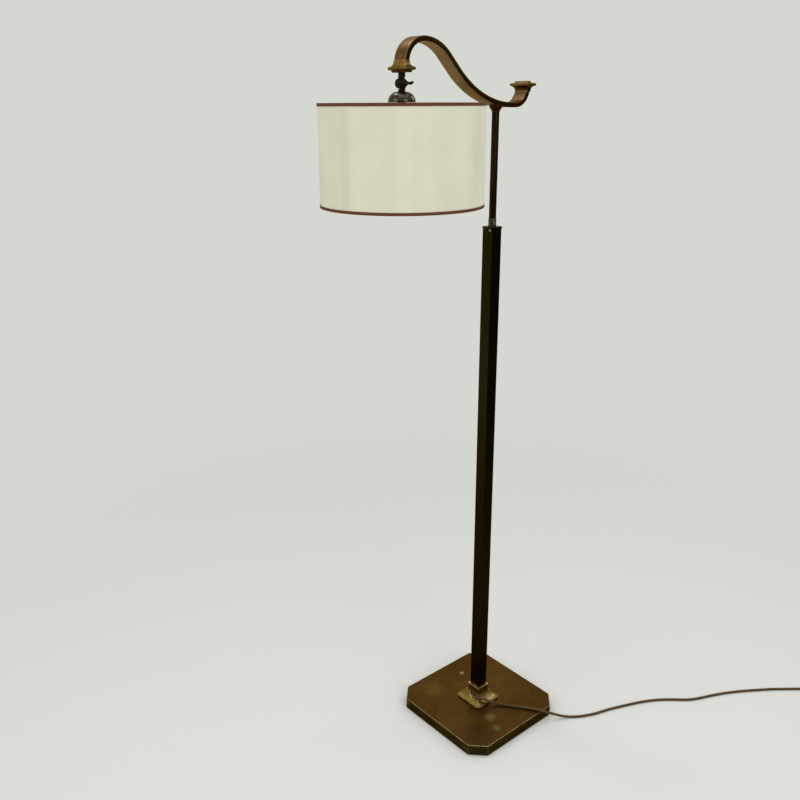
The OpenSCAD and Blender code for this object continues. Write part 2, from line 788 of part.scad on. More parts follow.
module column_plug() {
  side = column_inner - 2 * fit;
  color(brass_brown)
    difference() {
      block(side, side, column_foot_z, plug_top_z);
      post(tie_d + 2 * fit, 0, plug_top_z + over);
      translate([-side, lead_route[4][1] - plug_slot / 2, column_foot_z - over])
        cube([side + lead_route[4][0] + plug_slot / 2, plug_slot, plug_height + 2 * over]);
    }
}

module column_cap() {
  side = column_inner - 2 * fit;
  color(worn_metal)
    difference() {
      union() {
        translate([0, 0, column_top_z])
          linear_extrude(cap_thickness)
            round_square(cap_side, cap_corner);
        block(side, side, cap_plug_z, column_top_z);
      }
      post(sleeve_d + 2 * fit, cap_plug_z - over, cap_top_z + over);
      cap_screw_hole(fit, column_side);
    }
}

module cap_screw() {
  outer = column_side / 2 - fit;
  slot = cap_screw_d / 5;
  color(bronze_black)
    difference() {
      translate([-outer, 0, column_top_z - cap_screw_depth])
        rotate([0, 90, 0])
          cylinder(d = cap_screw_d, h = cap_screw_length);
      translate([-outer - over, -cap_screw_d, column_top_z - cap_screw_depth - slot / 2])
        cube([over + slot, 2 * cap_screw_d, slot]);
    }
}

module guide_sleeve() {
  color(worn_metal)
    difference() {
      post(sleeve_d, cap_plug_z, sleeve_top_z);
      post(mast_d + 2 * running, cap_plug_z - over, sleeve_top_z + over);
      for (turn = [0, 90])
        rotate([0, 0, turn])
          block(2 * sleeve_d, sleeve_slot, sleeve_top_z - sleeve_slot_length, sleeve_top_z + over);
    }
}

module slide_block() {
  side = column_inner - 2 * slide_gap;
  color(brass_brown) {
    difference() {
      block(side, side, block_foot_z, block_top_z);
      post(mast_d + 2 * running, block_foot_z - over, block_top_z + over);
    }
    rotate([0, 0, 45])
      translate([swivel_r, 0, 0])
        post(swivel_pin_d, ring_top_z - ring_height, block_foot_z + over);
  }
}

module column_lead() {
  color(flex_brown)
    post(lead_d, lead_top_z, mast_foot_z - clear);
}

module mast() {
  color(column_black)
    difference() {
      post(mast_d, mast_foot_z, mast_top_z);
      post(mast_d - 2 * mast_wall, mast_foot_z - over, mast_top_z + over);
    }
}

// Ring on the mast between two heights
module mast_ring(low, high) {
  difference() {
    post(ring_d, low, high);
    post(mast_d + 2 * fit, low - over, high + over);
  }
}

module stop_collar() {
  color(brass_brown)
    mast_ring(stop_top_z - stop_height, stop_top_z);
}

module ring_nut() {
  color(brass_brown)
    difference() {
      mast_ring(mast_foot_z, ring_top_z);
      swivel_pin_shape(fit, over);
    }
}

module swivel_pin() {
  color(steel_grey)
    swivel_pin_shape(0, 0);
}

// Pin across the ring nut, on the far side from the slide block's lug
module swivel_pin_shape(gap, extra) {
  inner = mast_d / 2 + 2 * fit;
  rotate([0, 0, 225])
    translate([inner - extra, 0, mast_foot_z + ring_height / 2])
      rotate([0, 90, 0])
        cylinder(d = swivel_pin_d + 2 * gap, h = swivel_r - inner + 2 * extra);
}

// The strap's path as a solid of the given section, with its two ends lengthened
module strap(w, t, extra) {
  line = strap_line(extra);
  last = len(line) - 1;
  upper = [for (p = line) [p[0], p[1]] + t / 2 * [p[2], p[3]]];
  under = [for (i = [last : -1 : 0]) [line[i][0], line[i][1]] - t / 2 * [line[i][2], line[i][3]]];
  rotate([90, 0, 0])
    linear_extrude(w, center = true)
      polygon(concat(upper, under));
}

module arm() {
  color(brass_brown)
    difference() {
      union() {
        strap(strap_w, strap_t, 0);
        for (angle = fold_angles)
          translate([tail_centre_x, 0, tail_centre_z])
            rotate([0, -angle, 0])
              translate([tail_r - strap_t / 2, 0, 0])
                rotate([90, 0, 0])
                  cylinder(r = fold_r, h = strap_w - 2 * fold_r, center = true);
      }
      strap(strap_w - 2 * strap_wall, strap_t - 2 * strap_wall, over);
      post(mast_d + 2 * fit, collar_foot_z, arm_mid_z);
    }
}

module arm_collar() {
  color(brass_olive)
    difference() {
      union() {
        post(collar_foot_d, collar_foot_z, collar_foot_z + collar_bead);
        translate([0, 0, collar_foot_z + collar_bead])
          cylinder(d1 = collar_foot_d, d2 = collar_d, h = collar_rise - strap_t / 2 - collar_bead - fit);
        post(collar_d, arm_low_z - strap_t / 2 - fit, arm_mid_z);
      }
      collar_trim();
      post(mast_d + 2 * fit, collar_foot_z - over, arm_mid_z + over);
    }
}

// What is above the strap's underside, over the collar
module collar_trim() {
  translate([sweep_x, 0, sweep_z])
    rotate([90, 0, 0])
      cylinder(r = sweep_r + strap_t / 2 + fit, h = 2 * collar_d, center = true, $fn = fine);
}

// Flared moulding that closes an end of the strap, standing on its plinth
module end_moulding(inset) {
  translate([0, 0, plinth_height])
    flare_block(end_neck_x, end_neck_y, end_flare, rim_height, end_flare_r, end_body);
  block(2 * (end_neck_x + end_flare - inset), 2 * (end_neck_y + end_flare - inset),
    0, plinth_height);
}

module arm_cap() {
  color(brass_olive)
    difference() {
      translate([lamp_x, 0, arm_cap_z])
        end_moulding(plinth_inset);
      strap(strap_w + 2 * fit, strap_t + 2 * fit, 0);
      translate([lamp_x, 0, 0])
        post(spigot_d + 2 * fit, arm_cap_z - over, strap_end_z + over);
    }
}

module arm_finial() {
  color(brass_olive)
    difference() {
      translate([tail_x, 0, finial_top_z])
        mirror([0, 0, 1])
          end_moulding(tail_inset);
      strap(strap_w + 2 * fit, strap_t + 2 * fit, 0);
    }
}

// Ear of the tilt joint on one side of the middle plane, with a rounded outer face
module ear(width, side) {
  round_r = ear_d / 4;
  translate([lamp_x, side * ear_gap, tilt_z])
    rotate([-90 * side, 0, 0])
      rotate_extrude()
        ear_profile(width - ear_gap, round_r);
}

// Half section of an ear
module ear_profile(width, round_r) {
  square([ear_d / 2, width - round_r]);
  square([ear_d / 2 - round_r, width]);
  translate([ear_d / 2 - round_r, width - round_r])
    intersection() {
      circle(r = round_r);
      square(round_r);
    }
}

// Half of a stem that joins an ear, on one side of the middle plane
module stem_half(side, low, high) {
  translate([lamp_x, 0, 0])
    intersection() {
      post(stem_d, low, high);
      translate([-stem_d, side > 0 ? ear_gap : -ear_gap - stem_d, low - over])
        cube([2 * stem_d, stem_d, high - low + 2 * over]);
    }
}

// Cylinder along the tilt axis between two places
module tilt_post(d, from, to) {
  translate([lamp_x, from, tilt_z])
    rotate([-90, 0, 0])
      cylinder(d = d, h = to - from);
}

module knuckle_upper() {
  color(bronze_black)
    difference() {
      union() {
        ear(ear_upper, 1);
        stem_half(1, tilt_z, arm_cap_z);
        translate([lamp_x, 0, 0])
          post(stem_d, tilt_z + stem_gap_z, arm_cap_z);
        translate([lamp_x, 0, 0])
          post(spigot_d, arm_cap_z - fit, arm_cap_z + spigot_up);
      }
      translate([lamp_x, 0, 0])
        post(lead_hole_d, tilt_z + stem_gap_z, arm_cap_z + spigot_up + over);
      tilt_post(thumb_shank_d + 2 * running, -ear_lower, ear_upper / 2 + over);
    }
}

module inner_lead() {
  color(flex_brown)
    tube(inner_route, lead_d, lead_sides, [0, 1, 0], [0, 0, 1], [0, 0, -1]);
}

module knuckle_lower() {
  color(bronze_black)
    difference() {
      union() {
        ear(ear_lower, -1);
        stem_half(-1, dome_top_z, tilt_z);
        translate([lamp_x, 0, 0])
          post(stem_d, dome_top_z, tilt_z - stem_gap_z);
        translate([lamp_x, 0, 0])
          post(spigot_d, dome_top_z - spigot_down, dome_top_z + fit);
      }
      translate([lamp_x, 0, 0])
        post(lead_hole_d, dome_top_z - spigot_down - over, dome_top_z);
      tilt_post(thumb_shank_d + 2 * running, -ear_lower - over, over);
    }
}

// Upright quarter of a dome's section: a flat crown and a round shoulder
module dome_section(shrink) {
  square([dome_flat_r, dome_h - shrink]);
  translate([dome_flat_r, 0])
    intersection() {
      circle(r = dome_h - shrink);
      square(dome_h);
    }
}

module dome() {
  color(bronze_black)
    translate([lamp_x, 0, dome_foot_z])
      rotate_extrude()
        difference() {
          dome_section(0);
          translate([0, -over])
            square([dome_flat_r + dome_h - dome_wall, over]);
          dome_section(dome_wall);
          square([spigot_d / 2 + fit, dome_h + over]);
        }
}

module holder_cap() {
  outer_r = holder_d / 2 + holder_wall;
  color(bronze_black)
    translate([lamp_x, 0, 0])
      difference() {
        union() {
          post(holder_neck_d, holder_cone_z, holder_top_z);
          translate([0, 0, holder_skirt_z])
            cylinder(r1 = outer_r, d2 = holder_neck_d, h = holder_cone);
          post(2 * outer_r, holder_cap_foot_z, holder_skirt_z);
        }
        post(spigot_d + 2 * fit, holder_skirt_z, holder_top_z + over);
        post(holder_d + 2 * fit, holder_cap_foot_z - over, holder_skirt_z);
      }
}

module holder_body() {
  color(bronze_black)
    difference() {
      translate([lamp_x, 0, 0])
        difference() {
          union() {
            post(holder_d, body_foot_z, body_top_z);
            post(seat_d, seat_foot_z, seat_foot_z + seat_t);
          }
          post(holder_d - 2 * holder_wall, body_foot_z - over, body_top_z + over);
        }
      spindle(clear, holder_d, spindle_seat);
    }
}

module holder_core() {
  color(ceramic_white)
    difference() {
      translate([lamp_x, 0, 0])
        post(holder_d - 2 * (holder_wall + fit), core_foot_z, core_top_z);
      spindle(running, holder_d, spindle_seat);
    }
}

module screw_shell() {
  color(brass_olive)
    translate([lamp_x, 0, 0])
      difference() {
        post(shell_bore + 2 * shell_wall, core_foot_z - shell_length, core_foot_z);
        post(shell_bore, core_foot_z - shell_length - over, core_foot_z + over);
      }
}

module centre_contact() {
  color(brass_olive)
    translate([lamp_x, 0, 0])
      post(contact_d, contact_foot_z, core_foot_z);
}

// Switch spindle across the lampholder, from inside the core outwards
module spindle(gap, length, depth) {
  inner = holder_d / 2 - holder_wall - depth;
  translate([lamp_x, -inner, key_z])
    rotate([90, 0, 0])
      cylinder(d = spindle_d + 2 * gap, h = length);
}

module switch_key() {
  reach_out = holder_wall + spindle_seat + spindle_length - slide_gap;
  key_root = holder_d / 2 + spindle_length;
  color(brass_olive) {
    translate([0, -slide_gap, 0])
      spindle(0, reach_out, spindle_seat);
    translate([lamp_x, -key_root - key_length / 2, key_z])
      key_blade();
  }
}

// Flat key with round ends, lying across the spindle
module key_blade() {
  round_r = key_length / 2;
  translate([0, 0, -key_t / 2])
    linear_extrude(key_t) {
      intersection() {
        square([key_w, key_length], center = true);
        circle(r = sqrt(pow(key_w / 2, 2) + pow(key_length / 4, 2)));
      }
      translate([-spindle_d / 2, 0])
        square([spindle_d, round_r]);
    }
}

module shade_ring() {
  color(bronze_black)
    translate([lamp_x, 0, 0])
      difference() {
        post(ring_outer_d, washer_foot_z - ring_h, washer_foot_z);
        post(holder_d + 2 * fit, washer_foot_z - ring_h - over, washer_foot_z + over);
      }
}

module bulb_cap() {
  taper_z = bulb_top_z - bulb_tip_h;
  screw_z = taper_z - bulb_taper_h;
  color(steel_grey)
    translate([lamp_x, 0, 0])
      difference() {
        union() {
          post(bulb_tip_d, taper_z, bulb_top_z);
          translate([0, 0, screw_z])
            cylinder(d1 = bulb_cap_d - 2 * bulb_crimp, d2 = bulb_tip_d, h = bulb_taper_h);
          post(bulb_cap_d, bulb_cap_foot_z, screw_z);
        }
        post(2 * (bulb_neck_r + fit), bulb_cap_foot_z - over, screw_z - bulb_crimp);
      }
}

module bulb_glass() {
  color(opal)
    translate([lamp_x, 0, bulb_centre_z])
      rotate_extrude()
        difference() {
          bulb_section(bulb_d / 2, bulb_neck_r, 0);
          bulb_section(bulb_d / 2 - glass_t, bulb_neck_r - glass_t, over);
        }
}

// Half section of the bulb's glass: a globe and a tapering neck
module bulb_section(globe_r, neck_r, extra) {
  neck_z = bulb_cap_foot_z + bulb_cap_length / 2 - bulb_centre_z;
  shoulder_z = globe_r * bulb_shoulder;
  shoulder_r = globe_r * sqrt(1 - pow(bulb_shoulder, 2));
  cap_z = bulb_cap_foot_z - bulb_centre_z;
  intersection() {
    circle(r = globe_r);
    translate([0, -globe_r])
      square([globe_r, 2 * globe_r]);
  }
  polygon([[0, 0], [shoulder_r, shoulder_z], [neck_r, cap_z], [neck_r, neck_z + extra], [0, neck_z + extra]]);
}

// Wire ring of the shade's frame at a height
module wire_ring(z) {
  translate([lamp_x, 0, z])
    rotate_extrude()
      translate([wire_ring_r, 0])
        circle(d = wire_d);
}

module shade_spider() {
  run = wire_ring_r - weld_in - spider_start_r;
  climb = spider_ring_z + weld_up - spider_start_z;
  color(worn_metal) {
    wire_ring(spider_ring_z);
    translate([lamp_x, 0, 0])
      difference() {
        post(washer_d, washer_foot_z, seat_foot_z);
        post(holder_d + 2 * fit, washer_foot_z - over, seat_foot_z + over);
      }
    for (k = [0 : spider_arms - 1])
      translate([lamp_x, 0, spider_start_z])
        rotate([0, 0, spider_turn + 360 * k / spider_arms])
          translate([spider_start_r, 0, 0])
            rotate([0, atan2(run, climb), 0])
              cylinder(d = wire_d, h = norm([run, climb]));
  }
}

module bottom_ring() {
  color(worn_metal)
    wire_ring(shade_foot_z + wire_inset);
}

// Upright ring about the lamp's axis
module lamp_ring(inner_r, outer_r, low, high) {
  translate([lamp_x, 0, 0])
    difference() {
      post(2 * outer_r, low, high);
      post(2 * inner_r, low - over, high + over);
    }
}

module shade_shell() {
  color(cream)
    lamp_ring(shade_inner_r, shade_d / 2, shade_foot_z, shade_top_z);
}

module trim_top() {
  color(binding_red) {
    lamp_ring(shade_d / 2, shade_d / 2 + trim_t, shade_top_z - trim_w, shade_top_z + trim_t);
    lamp_ring(shade_inner_r, shade_d / 2 + trim_t / 2, shade_top_z, shade_top_z + trim_t);
  }
}

module trim_bottom() {
  color(binding_red) {
    lamp_ring(shade_d / 2, shade_d / 2 + trim_t, shade_foot_z - trim_t, shade_foot_z + trim_w);
    lamp_ring(shade_inner_r, shade_d / 2 + trim_t / 2, shade_foot_z - trim_t, shade_foot_z);
  }
}

module thumb_screw() {
  head_y = -ear_lower - slide_gap;
  spade_y = head_y - thumb_cone_length;
  color(bronze_black) {
    tilt_post(thumb_shank_d, head_y, ear_upper / 2);
    translate([lamp_x, spade_y, tilt_z])
      rotate([-90, 0, 0])
        cylinder(d1 = spade_t, d2 = thumb_cone_d, h = thumb_cone_length);
    translate([lamp_x, spade_y - spade_length, tilt_z])
      rotate([0, spade_turn, 0])
        translate([0, 0, -spade_t / 2])
          linear_extrude(spade_t)
            spade_outline();
  }
}

// Outline of the spade: a round end and a waist that runs into the cone
module spade_outline() {
  round_r = spade_w / 2;
  translate([0, round_r])
    circle(r = round_r);
  polygon([[-round_r, round_r], [round_r, round_r], [spade_t / 2, spade_length + spade_t],
    [-spade_t / 2, spade_length + spade_t]]);
}

module lead_foot() {
  path = smooth([for (p = lead_route) p + [0, 0, base_top_z]], flex_steps);
  start = unit(flex_route[0] - flex_route[1]);
  color(flex_brown)
    tube(path, lead_d, lead_sides, [1, 0, 0], start, [0, 0, 1]);
}

module flex_cord() {
  path = smooth(flex_route, flex_steps);
  start = unit(flex_route[1] - flex_route[0]);
  color(flex_brown)
    tube(path, flex_d, flex_sides, [0, 0, 1], start, coil_heading);
}

module flex_coil() {
  color(flex_brown)
    tube(coil_path, flex_d, coil_sides, [0, 0, 1], coil_heading, coil_exit_heading);
}

module coil_tie() {
  inner_from = coil_inner_r - flex_d / 2 - clear;
  inner_to = coil_r + flex_d / 2 + clear;
  inner_low = coil_start[2] - flex_d / 2 - clear;
  inner_high = coil_start[2] + coil_layer + flex_d / 2 + clear;
  color(bronze_black)
    translate(flat(coil_centre))
      rotate([0, 0, tie_turn])
        rotate([90, 0, 0])
          linear_extrude(tie_w, center = true)
            difference() {
              translate([inner_from - tie_t, inner_low - tie_t])
                square([inner_to - inner_from + 2 * tie_t, inner_high - inner_low + 2 * tie_t]);
              translate([inner_from, inner_low])
                square([inner_to - inner_from, inner_high - inner_low]);
            }
}

// Places a piece of the plug with +X along the plug's axis, from the coil's end outwards
module at_plug() {
  translate(plug_start)
    rotate([0, 0, plug_turn])
      children();
}

module plug_body() {
  color(bronze_black)
    at_plug() {
      rotate([0, 90, 0])
        cylinder(d1 = flex_d + 2 * tie_t, d2 = plug_mouth_d, h = plug_sleeve);
      translate([plug_sleeve, 0, -plug_t / 2])
        linear_extrude(plug_t)
          plug_outline();
    }
}

// Outline of the plug's body from above, rounded at its back
module plug_outline() {
  translate([plug_round, -plug_w / 2])
    square([plug_length - plug_round, plug_w]);
  translate([0, plug_round - plug_w / 2])
    square([plug_length, plug_w - 2 * plug_round]);
  for (side = [-1, 1])
    translate([plug_round, side * (plug_w / 2 - plug_round)])
      circle(r = plug_round);
}

module plug_pins() {
  color(steel_grey)
    at_plug()
      for (side = [-1, 1])
        translate([plug_sleeve + plug_length, side * pin_gap / 2, 0])
          rotate([0, 90, 0])
            cylinder(d = pin_d, h = pin_length);
}

// Least gap between turns of the coil, measured between points at least half a turn apart
coil_gap = min([for (i = [0 : len(coil_path) - 1], j = [i + coil_rings / 2 : 1 : len(coil_path) - 1])
  norm(coil_path[i] - coil_path[j])]) - flex_d;
flex_length = path_length(smooth(flex_route, flex_steps)) + path_length(coil_path);
echo(coil_gap = coil_gap);
echo(flex_length = flex_length);

// Length of a path
function path_length(path) = norm_sum([for (i = [1 : len(path) - 1]) norm(path[i] - path[i - 1])]);

// Sum of a list
function norm_sum(list) = list * [for (x = list) 1];

base_shell();
base_weight();
base_pad();
foot_flange();
tie_rod();
tie_washer();
tie_nut();
column();
column_plug();
column_cap();
cap_screw();
guide_sleeve();
slide_block();
column_lead();
mast();
stop_collar();
ring_nut();
swivel_pin();
arm_collar();
arm();
arm_cap();
arm_finial();
knuckle_upper();
inner_lead();
knuckle_lower();
dome();
holder_cap();
holder_body();
holder_core();
screw_shell();
centre_contact();
shade_ring();
bulb_cap();
bulb_glass();
shade_spider();
bottom_ring();
shade_shell();
trim_top();
trim_bottom();
thumb_screw();
switch_key();
lead_foot();
flex_cord();
flex_coil();
coil_tie();
plug_body();
plug_pins();
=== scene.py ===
"""Looks of a swan-neck floor lamp: aged brass stand and arm, dark knuckle, drum shade and cloth flex."""

import logging
import math
from dataclasses import dataclass
from enum import Enum

import bmesh
import bpy
import numpy as np
from mathutils import Matrix, Vector


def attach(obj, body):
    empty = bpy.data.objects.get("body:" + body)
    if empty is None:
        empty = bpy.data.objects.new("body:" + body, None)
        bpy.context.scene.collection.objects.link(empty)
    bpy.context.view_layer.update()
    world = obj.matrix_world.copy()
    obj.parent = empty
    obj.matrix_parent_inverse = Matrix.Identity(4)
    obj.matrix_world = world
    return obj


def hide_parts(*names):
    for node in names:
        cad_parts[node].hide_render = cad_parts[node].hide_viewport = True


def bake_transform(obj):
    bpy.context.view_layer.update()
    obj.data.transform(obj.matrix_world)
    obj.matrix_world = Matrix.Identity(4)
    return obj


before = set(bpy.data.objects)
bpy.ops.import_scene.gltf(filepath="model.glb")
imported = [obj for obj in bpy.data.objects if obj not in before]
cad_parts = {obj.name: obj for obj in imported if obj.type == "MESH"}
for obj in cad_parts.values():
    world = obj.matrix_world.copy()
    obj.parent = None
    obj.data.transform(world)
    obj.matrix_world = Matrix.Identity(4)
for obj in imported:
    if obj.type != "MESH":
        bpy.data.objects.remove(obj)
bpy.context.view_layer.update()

LOG = logging.getLogger("floor_lamp")
MM = 0.001
TURN = 2.0 * math.pi
WELD = 1e-6
LAMP_X = -245.0
CAP_Z = 1491.0
LAP = (186.4, 193.4)
UV_NAME = "surface"
BEND_NAME = "bend"
WHITE = (1.0, 1.0, 1.0, 1.0)
ORIGIN = (0.0, 0.0, 0.0)
UP = (0.0, 0.0, 1.0)
TINY = 1e-4
BEVEL_SAMPLES = 6
SPOT_CORE = 0.35
DUST = (140, 130, 108)

Pair = tuple[float, float]
Triple = tuple[float, float, float]
Colour = tuple[float, float, float, float]
Display = tuple[int, int, int]
Socket = bpy.types.NodeSocket
Input = float | tuple | Socket


def paint(red: int, green: int, blue: int) -> Colour:
    """Linear colour of an 8-bit display colour, by the usual display curve."""
    share = np.array([red, green, blue]) / 255.0
    linear = np.where(share <= 0.04045, share / 12.92, ((share + 0.055) / 1.055) ** 2.4)
    return (*(float(v) for v in linear), 1.0)


def linked(name: str, data: bpy.types.ID) -> bpy.types.Object:
    """New object of that data, at the origin of the scene."""
    made = bpy.data.objects.new(name, data)
    bpy.context.scene.collection.objects.link(made)
    return made


# Shapes


def spokes(count: int) -> np.ndarray:
    """Even angles of one whole turn, in radians."""
    return np.arange(count) * TURN / count


def unit(rows: np.ndarray) -> np.ndarray:
    """The vectors at length 1."""
    return rows / np.linalg.norm(rows, axis=-1, keepdims=True)


def arc(centre: Pair, radius: float, start: float, end: float, steps: int) -> np.ndarray:
    """Points centre + radius (cos a, sin a), with a even from start to end in degrees.

    Args:
        centre: the arc's middle.
        radius: its radius.
        start: first angle.
        end: last angle.
        steps: number of points.

    Returns:
        Array of points, shape (steps, 2).
    """
    angle = np.radians(np.linspace(start, end, steps))
    return np.array(centre) + radius * np.stack([np.cos(angle), np.sin(angle)], 1)


def rounded(
    corners: list[Pair], radii: tuple[float, ...], steps: int = 6, closed: bool = False
) -> np.ndarray:
    """Polyline whose corners are arcs tangent to both sides.

    At a corner with half angle h the arc of radius r starts r / tan h along each side, and its middle
    lies r / sin h along the bisector. The points between are a spherical blend of the two radii.

    Args:
        corners: the polyline's corners.
        radii: one radius a corner; 0 keeps it sharp.
        steps: points on each arc.
        closed: whether the last corner joins the first.

    Returns:
        Array of points, shape (n, 2).
    """
    at = np.array(corners, float)
    parts = []
    for k, radius in enumerate(radii):
        if radius <= 0 or (not closed and k in (0, len(radii) - 1)):
            parts.append(at[k][None])
            continue
        back, ahead = unit(at[k - 1] - at[k]), unit(at[(k + 1) % len(at)] - at[k])
        half = math.acos(float(np.clip(back @ ahead, -1, 1))) / 2
        middle = at[k] + unit(back + ahead) * radius / math.sin(half)
        reach = radius / math.tan(half)
        first, last = at[k] + back * reach - middle, at[k] + ahead * reach - middle
        sweep = math.pi - 2 * half
        share = np.linspace(0, 1, steps)[:, None]
        blend = np.sin((1 - share) * sweep) * first + np.sin(share * sweep) * last
        parts.append(middle + blend / math.sin(sweep))
    return np.concatenate(parts)


def turned(profile: np.ndarray, foot: Triple, sides: int, about_y: bool = False) -> np.ndarray:
    """Surface of revolution P(i, j) = foot + r_i (cos a_j, sin a_j) + h_i along the axis.

    Args:
        profile: rows of (r, h).
        foot: point on the axis where h is 0.
        sides: points round the axis.
        about_y: axis along Y instead of Z.

    Returns:
        Grid of points, shape (rows, sides, 3).
    """
    angle = spokes(sides)
    ring, rise = profile[:, :1], np.repeat(profile[:, 1:2], sides, 1)
    across, up = ring * np.cos(angle), ring * np.sin(angle)
    grid = np.stack([across, rise, up] if about_y else [across, up, rise], -1)
    return grid + np.array(foot)


def boxed(
    half_x: np.ndarray, half_y: np.ndarray, corner: np.ndarray, rise: np.ndarray, steps: int
) -> np.ndarray:
    """Stack of rectangles with round corners: x = +-(half_x - c) + c cos a, y = +-(half_y - c) + c sin a.

    Args:
        half_x: half width of each level.
        half_y: half depth of each level.
        corner: corner radius of each level.
        rise: height of each level.
        steps: points on each corner.

    Returns:
        Grid of points, shape (levels, 4 steps, 3).
    """
    angle = (np.arange(4)[:, None] * 90 + np.linspace(0, 90, steps)).ravel()
    middle = np.radians(np.repeat(np.arange(4) * 90 + 45, steps))
    side_x, side_y = np.sign(np.cos(middle)), np.sign(np.sin(middle))
    angle = np.radians(angle)
    c = np.minimum(corner, np.minimum(half_x, half_y))[:, None]
    x = side_x * (half_x[:, None] - c) + c * np.cos(angle)
    y = side_y * (half_y[:, None] - c) + c * np.sin(angle)
    return np.stack([x, y, np.repeat(rise[:, None], x.shape[1], 1)], -1)


def squared(half_w: np.ndarray, half_d: np.ndarray, power: np.ndarray, sides: int) -> np.ndarray:
    """Sections (w sgn(cos a) |cos a|^p, d sgn(sin a) |sin a|^p): ellipses that square up as p falls.

    Args:
        half_w: half width of each section.
        half_d: half depth of each section.
        power: p of each section.
        sides: points round a section.

    Returns:
        Array of points, shape (sections, sides, 2).
    """
    angle = spokes(sides)
    axes = ((half_w, np.cos(angle)), (half_d, np.sin(angle)))
    return np.stack([h[:, None] * np.sign(w) * np.abs(w) ** power[:, None] for h, w in axes], -1)


def carried(path: np.ndarray, section: np.ndarray, side: np.ndarray, up: np.ndarray) -> np.ndarray:
    """Section carried along a path: P(i, j) = path_i + s_j side_i + t_j up_i.

    Args:
        path: points, shape (n, 3).
        section: (s, t) points, shape (m, 2) or (n, m, 2).
        side: unit vectors, shape (n, 3), or one for the whole path.
        up: unit vectors, of either shape.

    Returns:
        Grid of points, shape (n, m, 3).
    """
    section = np.broadcast_to(section, (len(path), *section.shape[-2:]))
    side, up = (np.broadcast_to(v, path.shape)[:, None] for v in (side, up))
    return path[:, None] + section[..., :1] * side + section[..., 1:] * up


def headings(path: np.ndarray) -> np.ndarray:
    """Unit tangents of a path, from the difference of each point's neighbours."""
    return unit(np.gradient(path, axis=0))


def capped(grid: np.ndarray) -> np.ndarray:
    """The grid with its first and last rows drawn together to their middles, which closes the ends."""
    first, last = (np.repeat(row.mean(0)[None, None], grid.shape[1], 1) for row in (grid[0], grid[-1]))
    return np.concatenate([first, grid, last])


def bend(grid: np.ndarray, normal: np.ndarray, loop: bool) -> np.ndarray:
    """How sharply a surface bends outwards: 1 / radius of its tightest grid line, in 1 / mm.

    On a grid line with steps u and v before and after a point, the bend is 2 (u / |u| - v / |v|) over
    |u| + |v|, taken along the normal.

    Args:
        grid: points, shape (rows, columns, 3), closed round its columns.
        normal: outward unit normals, of the same shape.
        loop: whether the last row joins the first.

    Returns:
        Bends, shape (rows, columns), 0 where the surface is flat or hollow.
    """
    tightest = np.zeros(grid.shape[:2])
    for axis in (0, 1):
        back, ahead = grid - np.roll(grid, 1, axis), np.roll(grid, -1, axis) - grid
        u, v = (np.linalg.norm(step, axis=-1, keepdims=True) for step in (back, ahead))
        real = (u > TINY) & (v > TINY)
        turn = 2 * (back / np.maximum(u, TINY) - ahead / np.maximum(v, TINY)) / np.maximum(u + v, TINY)
        value = np.sum(turn * normal, -1) * real[..., 0]
        if axis == 0 and not loop:
            value[[0, -1]] = 0.0
        tightest = np.maximum(tightest, value)
    return tightest


def tiled(rows: int, columns: int, loop: bool = False) -> tuple[np.ndarray, np.ndarray]:
    """Quads (i, j) (i, j+1) (i+1, j+1) (i+1, j) of a grid that is closed round its columns.

    Args:
        rows: number of rows.
        columns: number of columns.
        loop: whether the last row joins the first.

    Returns:
        Vertex numbers, shape (quads, 4), and each corner's UV, 0 to 1 over the grid.
    """
    last = rows if loop else rows - 1
    i, j = (a.ravel() for a in np.meshgrid(np.arange(last), np.arange(columns), indexing="ij"))
    down, along = np.stack([i, i, i + 1, i + 1], 1), np.stack([j, j + 1, j + 1, j], 1)
    quads = (down % rows) * columns + along % columns
    return quads, np.stack([down / last, along / columns], -1)


